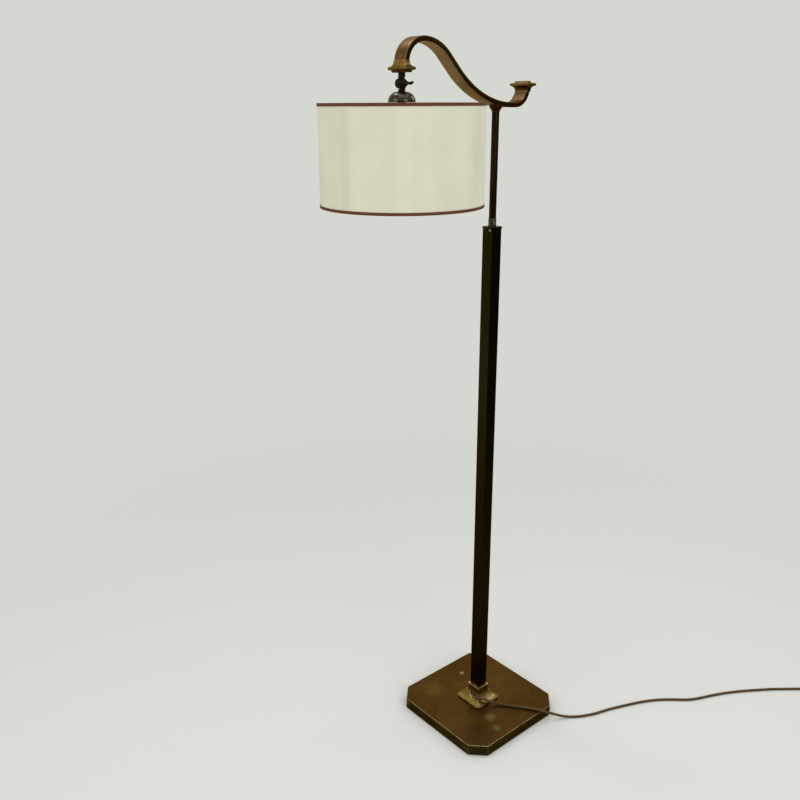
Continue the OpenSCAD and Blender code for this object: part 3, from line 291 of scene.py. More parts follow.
class Skin:
    """Gathers closed surfaces, each a grid of points, and makes one piece of them."""

    def __init__(self, name: str) -> None:
        """Starts an empty piece of that name."""
        self.name = name
        self.points: list[np.ndarray] = []
        self.quads: list[np.ndarray] = []
        self.corners: list[np.ndarray] = []
        self.bends: list[np.ndarray] = []
        self.count = 0

    def add(self, grid: np.ndarray, loop: bool = False) -> "Skin":
        """Adds a grid's quads, turned to face away from the volume that they hold.

        Args:
            grid: points in millimetres, shape (rows, columns, 3), closed round its columns.
            loop: whether the last row joins the first.

        Returns:
            The skin itself.
        """
        quads, uv = tiled(*grid.shape[:2], loop)
        flat = grid.reshape(-1, 3) * MM
        a, b, c, d = ((flat - flat.mean(0))[quads[:, k]] for k in range(4))
        outward = np.cross(np.gradient(grid, axis=0), np.roll(grid, -1, 1) - np.roll(grid, 1, 1))
        outward /= np.maximum(np.linalg.norm(outward, axis=-1, keepdims=True), 1e-9)
        if np.sum(np.cross(a, b) * c) + np.sum(np.cross(a, c) * d) < 0:
            quads, uv = quads[:, ::-1], uv[:, ::-1]
        else:
            outward = -outward
        self.bends.append(bend(grid, outward, loop).ravel())
        self.points.append(flat)
        self.quads.append(quads + self.count)
        self.corners.append(uv)
        self.count += len(flat)
        return self

    def build(
        self, body: str, finish: "Finish", slot: str, replaces: tuple[str, ...], sharp: float = 38.0,
        towards: tuple[str, float, float] | None = None
    ) -> bpy.types.Object:
        """Makes the piece, welds its poles, and sets it on its body, or bakes its transform in when towards
        is given.

        Args:
            body: the body that it rides on.
            finish: its finish.
            slot: the record's material slot; not used.
            replaces: nodes that it stands for.
            sharp: angle in degrees past which an edge shades hard.
            towards: when given, the piece is set on no body and its transform is baked in; the body and
                heights in it are not used.

        Returns:
            The piece.
        """
        mesh = bpy.data.meshes.new(self.name)
        mesh.from_pydata(np.concatenate(self.points).tolist(), [], np.concatenate(self.quads).tolist())
        layer = mesh.uv_layers.new(name=UV_NAME)
        layer.data.foreach_set("uv", np.concatenate(self.corners).astype(np.float32).ravel())
        curve = mesh.attributes.new(BEND_NAME, "FLOAT", "POINT")
        curve.data.foreach_set("value", np.concatenate(self.bends).astype(np.float32))
        work = bmesh.new()
        work.from_mesh(mesh)
        bmesh.ops.remove_doubles(work, verts=work.verts, dist=WELD)
        work.to_mesh(mesh)
        work.free()
        mesh.shade_smooth()
        mesh.set_sharp_from_angle(angle=math.radians(sharp))
        mesh.materials.append(finish.material())
        piece = linked(self.name, mesh)
        if towards:
            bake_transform(piece)
        else:
            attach(piece, body)
        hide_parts(*replaces)
        LOG.info("%s: %d faces on %s", self.name, len(mesh.polygons), body)
        return piece


# Finishes


class Tree:
    """Writes nodes and links into one shader tree."""

    def __init__(self, tree: bpy.types.NodeTree) -> None:
        """Empties the tree."""
        self.tree = tree
        tree.nodes.clear()

    def put(
        self, kind: str, inputs: dict[int | str, Input] | None = None, **settings: object
    ) -> bpy.types.Node:
        """Adds a node.

        Args:
            kind: its type, without the common first word.
            inputs: values, or sockets to link, by input.
            settings: its own options.

        Returns:
            The node.
        """
        node = self.tree.nodes.new("ShaderNode" + kind)
        for key, value in settings.items():
            setattr(node, key, value)
        self.feed(node, inputs or {})
        return node

    def feed(self, node: bpy.types.Node, inputs: dict[int | str, Input]) -> None:
        """Links sockets to a node's inputs, or sets their values.

        Args:
            node: the node.
            inputs: values, or sockets to link, by input.
        """
        for key, value in inputs.items():
            if isinstance(value, Socket):
                self.tree.links.new(value, node.inputs[key])
            else:
                node.inputs[key].default_value = value

    def sum(self, kind: str, first: Input, second: Input = 0.0, clamp: bool = False) -> Socket:
        """One sum of two values, such as MULTIPLY."""
        return self.put("Math", {0: first, 1: second}, operation=kind, use_clamp=clamp).outputs[0]

    def times(self, first: Input, *others: Input, clamp: bool = False) -> Socket:
        """Product of values, held between 0 and 1 at the last step where clamp is set."""
        for k, other in enumerate(others, 1):
            first = self.sum("MULTIPLY", first, other, clamp and k == len(others))
        return first

    def mix(self, share: Input, first: Input, second: Input, kind: str = "MIX") -> Socket:
        """Colour that goes from first to second by share."""
        node = self.put("Mix", {0: share, 6: first, 7: second}, data_type="RGBA", blend_type=kind)
        return node.outputs[2]

    def tinted(self, colour: Input, tint: Input) -> Socket:
        """Colour multiplied by a tint."""
        return self.mix(1.0, colour, tint, "MULTIPLY")

    def grey(self, tone: Socket) -> Socket:
        """Grey of that tone."""
        return self.put("CombineColor", {0: tone, 1: tone, 2: tone}).outputs[0]

    def band(
        self, value: Input, low: float, high: float, to_low: Input = 0.0, to_high: Input = 1.0
    ) -> Socket:
        """Smooth step of value from low to high, between two results.

        Args:
            value: what is measured.
            low: where the step starts.
            high: where it ends, which may lie below.
            to_low: result at low.
            to_high: result at high.

        Returns:
            The result.
        """
        if low > high:
            low, high, to_low, to_high = high, low, to_high, to_low
        inputs = {0: value, 1: low, 2: high, 3: to_low, 4: to_high}
        return self.put("MapRange", inputs, interpolation_type="SMOOTHSTEP").outputs[0]

    def within(self, value: Socket, low: float, high: float, rim: float) -> Socket:
        """1 between low and high, 0 outside, with a soft rim at both."""
        return self.times(self.band(value, low - rim, low + rim), self.band(value, high + rim, high - rim))

    def noise(
        self, vector: Socket, scale: Input, detail: float = 3.0, rough: float = 0.55, warp: float = 0.0
    ) -> Socket:
        """Cloudy value over the surface."""
        inputs = {"Vector": vector, "Scale": scale, "Detail": detail, "Roughness": rough, "Distortion": warp}
        return self.put("TexNoise", inputs).outputs[0]

    def bevelled(self, radius: Input) -> Socket:
        """Normal of edges rounded by a radius."""
        return self.put("Bevel", {"Radius": radius}, samples=BEVEL_SAMPLES).outputs[0]

    def stretched(self, vector: Socket, scale: Triple) -> Socket:
        """The vector with each axis multiplied."""
        return self.put("Mapping", {"Vector": vector, "Scale": scale}).outputs[0]

    def near(self, vector: Socket, spot: Triple, reach: float, ragged: Input) -> Socket:
        """1 at a spot, 0 past reach, in metres, with a rim that is moved by ragged."""
        apart = self.put("VectorMath", {0: vector, 1: spot}, operation="DISTANCE").outputs["Value"]
        return self.band(self.sum("ADD", apart, ragged), reach, reach * SPOT_CORE)

    def group(self, name: str, inputs: dict[int | str, Input]) -> bpy.types.Node:
        """Places a shared effect."""
        return self.put("Group", inputs, node_tree=Effect(name).tree())


class Kind(Enum):
    """Socket types of a shared effect."""

    VALUE = "NodeSocketFloat"
    COLOUR = "NodeSocketColor"
    VECTOR = "NodeSocketVector"


class Effect:
    """A shared effect: a node group that is made once. Its numbers scale its noises and bound its bands."""

    BLOT_FINER = 3.7
    GRAIN_FINER = 40.0
    WEAR_SCALE = 60.0
    DUST_FINE = 420.0
    DUST_BROAD = 22.0
    THREAD_RUN = (0.11, 0.9, 1.0)
    CLOUDS = (0.36, 0.66)
    BLOTS = (0.55, 0.68)
    GRAIN_TONE = (0.3, 0.7, 0.965, 1.03)
    GRAIN_SWING = 0.5
    MEAN_SWING = 0.75
    BLOT_HEIGHT = 0.6
    GRAIN_HEIGHT = 0.4
    ROUNDED_EDGE = (0.995, 0.9)
    BENT_EDGE = (0.2, 0.5)
    BROKEN = (0.3, 0.6, 0.25, 1.0)
    LOOKS_UP = (0.55, 0.95)
    SPECKS = (0.52, 0.72)
    DRIFTS = (0.3, 0.75)
    THREADS = (-0.9, 1.0)
    KINDS: dict[str, Kind] = {
        "Vector": Kind.VECTOR, **dict.fromkeys(("Color", "Fresh", "Aged", "Stain"), Kind.COLOUR),
    }
    SOCKETS: dict[str, tuple[str, str]] = {
        "tarnish": ("Vector Scale Fresh Aged Stain Stains Roughness Uneven", "Color Roughness Height"),
        "edge_wear": ("Vector Radius Bend Amount", "Mask"),
        "dust": ("Vector Amount", "Mask"),
        "weave": ("Along Across Slant", "Height Tone"),
    }

    def __init__(self, name: str) -> None:
        """Takes the effect's name."""
        self.name = name

    def tree(self) -> bpy.types.NodeTree:
        """Makes the effect's node group on first use.

        Returns:
            The node group.
        """
        found = bpy.data.node_groups.get(self.name)
        if found:
            return found
        made = bpy.data.node_groups.new(self.name, "ShaderNodeTree")
        for way, labels in zip(("INPUT", "OUTPUT"), self.SOCKETS[self.name]):
            for label in labels.split():
                kind = self.KINDS.get(label, Kind.VALUE)
                made.interface.new_socket(name=label, in_out=way, socket_type=kind.value)
        tree = Tree(made)
        inside = made.nodes.new("NodeGroupInput").outputs
        results = getattr(self, self.name)(tree, inside)
        out = made.nodes.new("NodeGroupOutput")
        for label, socket in results.items():
            made.links.new(socket, out.inputs[label])
        return made

    def tarnish(self, tree: Tree, given: bpy.types.NodeOutputs) -> dict[str, Socket]:
        """Old lacquered metal: clouds from fresh to aged, stains with soft rims, and a fine grain.

        Args:
            tree: the group's tree.
            given: the group's inputs.

        Returns:
            The group's outputs by name.
        """
        vector, scale = given["Vector"], given["Scale"]
        cloud = tree.noise(vector, scale, detail=4.0, rough=0.6, warp=0.4)
        blot = tree.noise(vector, tree.times(scale, self.BLOT_FINER), detail=5.0, rough=0.62, warp=0.9)
        grain = tree.noise(vector, tree.times(scale, self.GRAIN_FINER), rough=0.7)
        colour = tree.mix(tree.band(cloud, *self.CLOUDS), given["Fresh"], given["Aged"])
        stained = tree.times(tree.band(blot, *self.BLOTS), given["Stains"])
        colour = tree.mix(stained, colour, given["Stain"])
        colour = tree.tinted(colour, tree.grey(tree.band(grain, *self.GRAIN_TONE)))
        swing = tree.sum("ADD", cloud, tree.times(grain, self.GRAIN_SWING))
        swing = tree.sum("SUBTRACT", swing, self.MEAN_SWING)
        rough = tree.sum("ADD", given["Roughness"], tree.times(swing, given["Uneven"]), clamp=True)
        height = tree.sum("ADD", tree.times(blot, self.BLOT_HEIGHT), tree.times(grain, self.GRAIN_HEIGHT))
        return {"Color": colour, "Roughness": rough, "Height": height}

    def edge_wear(self, tree: Tree, given: bpy.types.NodeOutputs) -> dict[str, Socket]:
        """Rubbed edges: where the surface bends sharply or a rounded edge starts, broken by noise.

        Args:
            tree: the group's tree.
            given: the group's inputs.

        Returns:
            The group's outputs by name.
        """
        hard = tree.put("NewGeometry").outputs["Normal"]
        inputs = {0: tree.bevelled(given["Radius"]), 1: hard}
        same = tree.put("VectorMath", inputs, operation="DOT_PRODUCT").outputs["Value"]
        bevelled, bent = tree.band(same, *self.ROUNDED_EDGE), tree.band(given["Bend"], *self.BENT_EDGE)
        edge = tree.sum("MAXIMUM", bevelled, bent)
        patches = tree.noise(given["Vector"], self.WEAR_SCALE, detail=4.0, rough=0.65)
        broken = tree.band(patches, *self.BROKEN)
        return {"Mask": tree.times(edge, broken, given["Amount"], clamp=True)}

    def dust(self, tree: Tree, given: bpy.types.NodeOutputs) -> dict[str, Socket]:
        """Dust on faces that look up: the normal's height, broken up by two noises.

        Args:
            tree: the group's tree.
            given: the group's inputs.

        Returns:
            The group's outputs by name.
        """
        normal = tree.put("TexCoord").outputs["Normal"]
        up = tree.put("SeparateXYZ", {0: normal}).outputs[2]
        fine = tree.band(tree.noise(given["Vector"], self.DUST_FINE, detail=2.0, rough=0.6), *self.SPECKS)
        broad = tree.band(tree.noise(given["Vector"], self.DUST_BROAD, rough=0.6), *self.DRIFTS)
        upward = tree.band(up, *self.LOOKS_UP)
        return {"Mask": tree.times(upward, fine, broad, given["Amount"], clamp=True)}

    def weave(self, tree: Tree, given: bpy.types.NodeOutputs) -> dict[str, Socket]:
        """Threads two ways, each set a wave that leans by the slant; the higher one shows.

        Args:
            tree: the group's tree.
            given: the group's inputs.

        Returns:
            The group's outputs by name.
        """
        along, across, slant = given["Along"], given["Across"], given["Slant"]
        one = tree.sum("SINE", tree.times(tree.sum("ADD", along, tree.times(across, slant)), TURN))
        two = tree.sum("SINE", tree.times(tree.sum("SUBTRACT", across, tree.times(along, slant)), TURN))
        height = tree.sum("MAXIMUM", one, two)
        place = tree.put("CombineXYZ", {0: along, 1: across}).outputs[0]
        tone = tree.noise(tree.stretched(place, self.THREAD_RUN), 1.0, rough=0.7)
        return {"Height": tree.band(height, *self.THREADS), "Tone": tone}


class Finish:
    """A finish, whose material is made on first use."""

    name: str

    def material(self) -> bpy.types.Material:
        """Makes the finish's material on first use.

        Returns:
            The material.
        """
        label = f"{self.name}_look"
        found = bpy.data.materials.get(label)
        if found:
            return found
        made = bpy.data.materials.new(label)
        made.use_nodes = True
        tree = Tree(made.node_tree)
        shader = tree.put("BsdfPrincipled")
        out = tree.put("OutputMaterial", {"Surface": shader.outputs[0]})
        out.is_active_output = True
        self.dress(tree, shader)
        return made

    def dress(self, tree: Tree, shader: bpy.types.Node) -> None:
        """Wires the finish into the shader; each finish has its own."""
        raise NotImplementedError

    @staticmethod
    def bump(tree: Tree, height: Socket, depth: float, strength: float, edge: float = 0.0) -> Socket:
        """Normal of a height, over a rounded edge.

        Args:
            tree: the material's tree.
            height: the height, from 0 to 1.
            depth: metres that a height of 1 stands out.
            strength: share of the bump that shows.
            edge: the edge's radius in metres; 0 leaves it sharp.

        Returns:
            The normal.
        """
        inputs: dict[int | str, Input] = {"Height": height, "Distance": depth, "Strength": strength}
        if edge > 0:
            inputs["Normal"] = tree.bevelled(edge)
        return tree.put("Bump", inputs).outputs[0]


@dataclass(frozen=True)
class Spot:
    """A round patch of colour on a metal face, among them painted highlights, reflections and shade: where
    it is, how far it reaches, in metres, its colour and its strength.
    """

    place: Triple
    reach: float
    colour: Display
    share: float


@dataclass(frozen=True)
class Metal(Finish):
    """Aged metal with clouds, stains, rubbed edges and dust, and painted shade and light by facing, height
    and spot. Radii are in metres.
    """

    name: str
    fresh: Display
    aged: Display
    stain: Display
    rubbed: Display
    scale: float
    stains: float = 0.5
    metallic: float = 1.0
    rough: float = 0.38
    uneven: float = 0.3
    wear: float = 0.7
    edge: float = 0.0008
    dusty: float = 0.15
    gloss: float = 0.5
    # sides: painted shade, a tint on faces that don't look up
    sides: Colour = WHITE
    # flanks: painted shade, a tint on faces that look sideways
    shaded_flanks: Colour = WHITE
    # levels: painted shade and painted highlight, a tint in each band of height
    levels: tuple[tuple[float, float, Colour], ...] = ()
    relief: float = 0.25
    worn_above: float | None = None
    tint: Colour = (0.8, 0.66, 0.42, 1.0)
    stretch: Triple = (1.0, 1.0, 1.0)
    # spots: round patches, among them painted highlights, painted reflections and painted shade
    spots: tuple[Spot, ...] = ()

    DEPTH = 0.0004
    PAINTED_BAND_RIM = 0.0006
    WORN_RIM = 0.0004
    NICK_SCALE = 180.0
    WIDE_SPOT = 0.01
    PATCHES = 2.2
    RAGGED_SCALE = 70.0
    RAGGED = 0.012
    RUBBED_SHINE = 0.12
    DUST_MATT = 0.4
    TOP_FACE = (0.2, 0.8)
    SIDE_FACE = (0.6, 0.9)
    PATCHED = (0.35, 0.6, 0.5, 1.0)
    NOISE_MEAN = 0.5

    def dress(self, tree: Tree, shader: bpy.types.Node) -> None:
        """Wires tarnish, painted shade on the sides, painted shade and highlight by height, spots,
        painted shade on the flanks, a rubbed top, rubbed edges and dust, in that order.

        Args:
            tree: the material's tree.
            shader: its surface shader.
        """
        place = tree.put("TexCoord").outputs["Object"]
        rubbed = paint(*self.rubbed)
        look = tree.group("tarnish", {
            "Vector": tree.stretched(place, self.stretch), "Scale": self.scale, "Fresh": paint(*self.fresh),
            "Aged": paint(*self.aged), "Stain": paint(*self.stain), "Stains": self.stains,
            "Roughness": self.rough, "Uneven": self.uneven,
        }).outputs
        colour = look["Color"]
        facing = tree.put("SeparateXYZ", {0: tree.put("TexCoord").outputs["Normal"]}).outputs
        # painted shade: faces that don't look up are tinted by sides
        if self.sides != WHITE:
            colour = tree.tinted(colour, tree.mix(tree.band(facing[2], *self.TOP_FACE), self.sides, WHITE))
        rise = tree.put("SeparateXYZ", {0: place}).outputs[2]
        # painted shade and painted highlight: bands of height made darker or lighter
        for low, high, tone in self.levels:
            painted_band = tree.within(rise, low, high, self.PAINTED_BAND_RIM)
            colour = tree.tinted(colour, tree.mix(painted_band, WHITE, tone))
        # spots, among them painted highlights, painted reflections and painted shade
        ragged = tree.sum("SUBTRACT", tree.noise(place, self.RAGGED_SCALE, detail=4.0), self.NOISE_MEAN)
        ragged = tree.times(ragged, self.RAGGED)
        for spot in self.spots:
            wide = spot.reach > self.WIDE_SPOT
            mask = tree.times(tree.near(place, spot.place, spot.reach, ragged if wide else 0.0), spot.share)
            if wide:
                patches = tree.noise(place, self.PATCHES / spot.reach, detail=2.0, rough=0.5)
                mask = tree.times(mask, tree.band(patches, *self.PATCHED))
            colour = tree.mix(mask, colour, paint(*spot.colour))
        # painted shade: faces that look sideways are darkened by flanks
        if self.shaded_flanks != WHITE:
            flank_shade = tree.band(tree.sum("ABSOLUTE", facing[1]), *self.SIDE_FACE)
            colour = tree.tinted(colour, tree.mix(flank_shade, WHITE, self.shaded_flanks))
        if self.worn_above is not None:
            top = tree.band(rise, self.worn_above - self.WORN_RIM, self.worn_above + self.WORN_RIM)
            broken = tree.band(tree.noise(place, self.NICK_SCALE), *self.PATCHED)
            colour = tree.mix(tree.times(top, broken), colour, rubbed)
        worn = tree.group("edge_wear", {
            "Vector": place, "Radius": self.edge * 2, "Amount": self.wear,
            "Bend": tree.put("Attribute", attribute_name=BEND_NAME).outputs["Fac"],
        }).outputs[0]
        grey = tree.group("dust", {"Vector": place, "Amount": self.dusty}).outputs[0]
        rough = tree.sum("SUBTRACT", look["Roughness"], tree.times(worn, self.RUBBED_SHINE))
        tree.feed(shader, {
            "Base Color": tree.mix(grey, tree.mix(worn, colour, rubbed), paint(*DUST)),
            "Roughness": tree.sum("ADD", rough, tree.times(grey, self.DUST_MATT), clamp=True),
            "Normal": self.bump(tree, look["Height"], self.DEPTH, self.relief, self.edge),
            "Metallic": self.metallic, "Specular IOR Level": self.gloss, "Specular Tint": self.tint,
        })


@dataclass(frozen=True)
class Woven(Finish):
    """Cloth with threads that follow the piece's own UV map, in threads a UV unit."""

    name: str
    colour: Display
    deep: Display
    threads: Pair
    slant: float = 0.0
    rough: float = 0.85
    relief: float = 0.0001
    band: Pair | None = None
    banded: Display = (255, 255, 255)
    hollow: float = 0.9
    streaks: float = 0.0

    DIRT_SCALE = 7.0
    BAND_RIM = 0.0012
    BAND_SHARE = 0.9
    GLOSS = 0.2
    TONES = (0.25, 0.8)
    THREAD_TOP = (0.0, 0.9)
    DIRT = (0.3, 0.8, 1.03, 0.93)
    STREAK = (0.3, 0.7, 1.03, 0.94)
    ROUGH_TONES = (0.2, 0.8)
    ROUGH_SWING = (0.08, 0.06)
    RELIEF_SHARE = 0.6

    def dress(self, tree: Tree, shader: bpy.types.Node) -> None:
        """Wires the threads' height and tone, dirt, soft streaks, and a band where the cloth is doubled.

        Args:
            tree: the material's tree.
            shader: its surface shader.
        """
        run, turn = tree.put("SeparateXYZ", {0: tree.put("UVMap", uv_map=UV_NAME).outputs[0]}).outputs[:2]
        weave = tree.group("weave", {
            "Along": tree.times(run, self.threads[0]), "Across": tree.times(turn, self.threads[1]),
            "Slant": self.slant,
        }).outputs
        dirt = tree.noise(tree.put("TexCoord").outputs["Object"], self.DIRT_SCALE, detail=4.0, rough=0.6)
        tones = tree.band(weave["Tone"], *self.TONES)
        colour = tree.mix(tones, paint(*self.colour), paint(*self.deep))
        hollow = tree.band(weave["Height"], *self.THREAD_TOP, self.hollow, 1.0)
        soil = tree.times(hollow, tree.band(dirt, *self.DIRT))
        if self.streaks:
            place = tree.put("CombineXYZ", {0: tree.times(turn, self.streaks)}).outputs[0]
            soil = tree.times(soil, tree.band(tree.noise(place, 1.0, detail=2.0), *self.STREAK))
        colour = tree.tinted(colour, tree.grey(soil))
        if self.band:
            doubled = tree.times(tree.within(turn, *self.band, self.BAND_RIM), self.BAND_SHARE)
            colour = tree.mix(doubled, colour, paint(*self.banded))
        less, more = self.ROUGH_SWING
        tree.feed(shader, {
            "Base Color": colour, "Specular IOR Level": self.GLOSS,
            "Roughness": tree.band(weave["Tone"], *self.ROUGH_TONES, self.rough - less, self.rough + more),
            "Normal": self.bump(tree, weave["Height"], self.relief, self.RELIEF_SHARE),
        })


@dataclass(frozen=True)
class Moulded(Finish):
    """Moulded or fired stuff, such as plastic, porcelain, felt or opal glass: a mottle and a fine grain."""

    name: str
    colour: Display
    deep: Display
    rough: float
    grain: float
    relief: float
    sheen: float = 0.0

    MOTTLE_SCALE = 60.0
    EDGE = 0.0004
    MOTTLE = (0.3, 0.75)
    ROUGH_MOTTLE = (0.25, 0.75)
    ROUGH_SWING = (0.07, 0.1)
    RELIEF_SHARE = 0.4

    def dress(self, tree: Tree, shader: bpy.types.Node) -> None:
        """Wires the mottle and the grain.

        Args:
            tree: the material's tree.
            shader: its surface shader.
        """
        place = tree.put("TexCoord").outputs["Object"]
        mottle = tree.noise(place, self.MOTTLE_SCALE, detail=4.0, rough=0.65)
        grain = tree.noise(place, self.grain, rough=0.7)
        less, more = self.ROUGH_SWING
        tree.feed(shader, {
            "Base Color": tree.mix(tree.band(mottle, *self.MOTTLE), paint(*self.colour), paint(*self.deep)),
            "Roughness": tree.band(mottle, *self.ROUGH_MOTTLE, self.rough - less, self.rough + more),
            "Normal": self.bump(tree, grain, self.relief, self.RELIEF_SHARE, self.EDGE),
            "Sheen Weight": self.sheen,
        })


BASE_BRASS = Metal(
    "base_brass", (98, 70, 35), (84, 58, 28), (104, 80, 38), (176, 154, 112), scale=6.0,
    # sides: painted shade, the tray's side faces tinted cooler and less red than its top
    stains=0.5, rough=0.4, uneven=0.22, wear=0.7, edge=0.0, dusty=0.15, sides=(0.6, 1.0, 1.2, 1.0),
    spots=(
        Spot((0.034, 0.092, 0.028), 0.008, (176, 150, 106), 0.85),
        # painted reflection: amber patches on the top just in front of the flange, standing in for its
        # reflection
        Spot((-0.033, -0.075, 0.028), 0.019, (140, 118, 64), 0.75),
        Spot((-0.048, -0.111, 0.028), 0.013, (136, 116, 68), 0.65),
        Spot((-0.065, 0.092, 0.028), 0.036, (116, 94, 42), 0.65),
        Spot((-0.067, -0.05, 0.028), 0.036, (114, 86, 28), 0.65),
        Spot((0.124, 0.048, 0.028), 0.006, (120, 100, 60), 0.5),
        Spot((-0.1425, -0.1, 0.014), 0.009, (134, 118, 70), 0.5),
        Spot((-0.1425, 0.104, 0.019), 0.009, (134, 118, 70), 0.5),
    ),
)
FLANGE_BRASS = Metal(
    "flange_brass", (132, 110, 54), (106, 86, 38), (84, 66, 30), (232, 206, 162), scale=26.0,
    stains=0.6, rough=0.36, wear=0.6, edge=0.0008, dusty=0.05, worn_above=0.0655,
    spots=(
        # painted highlight: pale spots along the lower rim of the cord hole
        Spot((-0.024, 0.0012, 0.0407), 0.0042, (226, 202, 146), 0.65),
        Spot((-0.0261, -0.0036, 0.0389), 0.0034, (212, 188, 132), 0.5),
        Spot((-0.0267, -0.0112, 0.0384), 0.0036, (186, 162, 106), 0.4),
        # painted light: a paler patch on the flare's -Y face
        Spot((0.016, -0.03, 0.039), 0.017, (170, 152, 108), 0.55),
    ),
)
COLUMN_BRASS = Metal(
    "column_brass", (42, 36, 13), (33, 27, 8), (52, 40, 15), (92, 76, 42), scale=7.0,
    stains=0.4, rough=0.3, wear=0.3, edge=0.0009, dusty=0.0, stretch=(1.0, 1.0, 0.25),
    spots=(
        Spot((-0.014, -0.0068, 1.1915), 0.0028, (206, 188, 148), 0.85),
        Spot((-0.014, 0.0085, 1.1935), 0.004, (112, 84, 48), 0.6),
        Spot((-0.014, 0.0004, 1.191), 0.0036, (2, 2, 1), 0.95),
        Spot((-0.014, -0.001, 0.071), 0.013, (158, 88, 42), 0.8),
    ),
)
ARM_BRASS = Metal(
    "arm_brass", (128, 101, 72), (114, 88, 60), (108, 82, 50), (190, 164, 112), scale=11.0,
    stains=0.12, rough=0.4, uneven=0.1, wear=0.05, edge=0.0, dusty=0.0, relief=0.012,
    # painted shade: faces that look sideways darkened to a deep brown
    shaded_flanks=(0.26, 0.19, 0.06, 1.0),
    spots=(
        # painted shade: a darker patch on the rise by the lamp end
        Spot((-0.252, 0.0, 1.508), 0.05, (98, 72, 48), 0.9),
        # painted shade: a greyer, darker patch on the crown
        Spot((-0.222, 0.0, 1.548), 0.036, (106, 94, 82), 0.75),
        # painted light: a broad paler patch over the slope
        Spot((-0.13, 0.0, 1.5), 0.12, (152, 130, 98), 0.75),
    ),
)
MOULDING_BRASS = Metal(
    "moulding_brass", (110, 86, 50), (94, 71, 39), (80, 59, 30), (196, 168, 108), scale=26.0,
    stains=0.2, rough=0.36, uneven=0.12, wear=0.2, edge=0.0, dusty=0.0, relief=0.02,
    # painted shade under the cap's plinth, on the finial's flare and on the collar; painted highlight on the
    # cap's neck and the finial's top
    levels=(
        (1.4905, 1.4955, (0.36, 0.24, 0.16, 1.0)), (1.45, 1.4725, (0.5, 0.34, 0.18, 1.0)),
        (1.42, 1.44, (0.25, 0.16, 0.1, 1.0)), (1.5035, 1.513, (2.1, 2.1, 2.4, 1.0)),
        (1.4775, 1.482, (1.55, 1.8, 2.6, 1.0)),
    ),
)
MAST_BRASS = Metal(
    "mast_brass", (52, 40, 18), (42, 31, 13), (62, 48, 24), (110, 90, 54), scale=8.0,
    stains=0.3, rough=0.3, wear=0.2, edge=0.0004, dusty=0.0, stretch=(1.0, 1.0, 0.25),
)
INNER_BRASS = Metal(
    "inner_brass", (168, 140, 82), (130, 104, 58), (96, 76, 42), (206, 184, 130), scale=30.0,
)
WORN_BRASS = Metal(
    "worn_brass", (112, 104, 80), (72, 63, 42), (46, 38, 22), (188, 182, 158), scale=45.0,
    stains=0.6, rough=0.36, wear=0.6, edge=0.0005,
    # painted highlight on worn metal: a pale patch on the sleeve's -Y side
    spots=(Spot((0.001, -0.0082, 1.206), 0.0085, (164, 158, 130), 0.7),),
)
CONTACT_BRASS = Metal(
    "contact_brass", (196, 170, 106), (160, 134, 78), (112, 92, 52), (226, 208, 156), scale=60.0,
    stains=0.3, rough=0.28, edge=0.0003,
)
BRONZE = Metal(
    "bronze", (32, 24, 14), (19, 14, 8), (42, 31, 18), (84, 68, 46), scale=24.0, stains=0.35,
    metallic=0.0, rough=0.28, uneven=0.12, wear=0.25, edge=0.0006, dusty=0.02, gloss=0.1, relief=0.05,
    tint=(0.9, 0.7, 0.42, 1.0),
)
DOME_BRONZE = Metal(
    "dome_bronze", (40, 30, 19), (25, 18, 11), (50, 37, 22), (98, 80, 54), scale=24.0, stains=0.35,
    metallic=0.0, rough=0.13, uneven=0.08, wear=0.2, edge=0.0, dusty=0.02, gloss=0.52, relief=0.05,
    tint=(0.92, 0.82, 0.66, 1.0),
)
IRON = Metal(
    "iron", (62, 60, 58), (44, 42, 40), (118, 62, 24), (120, 118, 114), scale=22.0, stains=0.5, rough=0.6,
)
STEEL = Metal(
    "steel", (150, 150, 148), (122, 122, 120), (92, 86, 76), (206, 206, 204), scale=40.0,
    stains=0.3, rough=0.3, edge=0.0004,
)
WIRE = Metal(
    "wire", (182, 178, 164), (156, 150, 134), (118, 98, 70), (214, 210, 198), scale=35.0,
    stains=0.35, metallic=0.3, rough=0.45, edge=0.0003,
)
BULB_CAP = Metal(
    "bulb_cap", (176, 174, 168), (150, 148, 142), (120, 114, 100), (220, 218, 212), scale=50.0,
    stains=0.25, rough=0.3, edge=0.0003,
)
FELT = Moulded("felt", (44, 58, 42), (34, 44, 32), 0.95, 900.0, 0.0004, sheen=0.4)
PORCELAIN = Moulded("porcelain", (226, 222, 210), (210, 204, 188), 0.22, 300.0, 0.00003)
OPAL_GLASS = Moulded("opal_glass", (240, 238, 230), (228, 225, 214), 0.18, 200.0, 0.00002)
PLUG_PLASTIC = Moulded("plug_plastic", (38, 31, 26), (28, 23, 19), 0.42, 900.0, 0.00006)
SHADE_CLOTH = Woven(
    "shade_cloth", (230, 229, 206), (226, 224, 200), (180.0, 960.0), rough=0.8, relief=0.00003,
    band=(LAP[0] / 360.0, LAP[1] / 360.0), banded=(220, 215, 192), hollow=0.97, streaks=14.0,
)
BINDING = Woven(
    "binding", (112, 66, 44), (90, 50, 32), (24.0, 900.0), slant=0.25, rough=0.75, relief=0.00012,
)
FLEX_BRAID = Woven(
    "flex_braid", (100, 78, 44), (66, 49, 24), (1000.0, 8.0), slant=1.0, rough=0.85, relief=0.0003,
)
TIE_CLOTH = Woven(
    "tie_cloth", (40, 34, 29), (28, 24, 20), (70.0, 26.0), slant=0.5, rough=0.9, relief=0.0002,
)

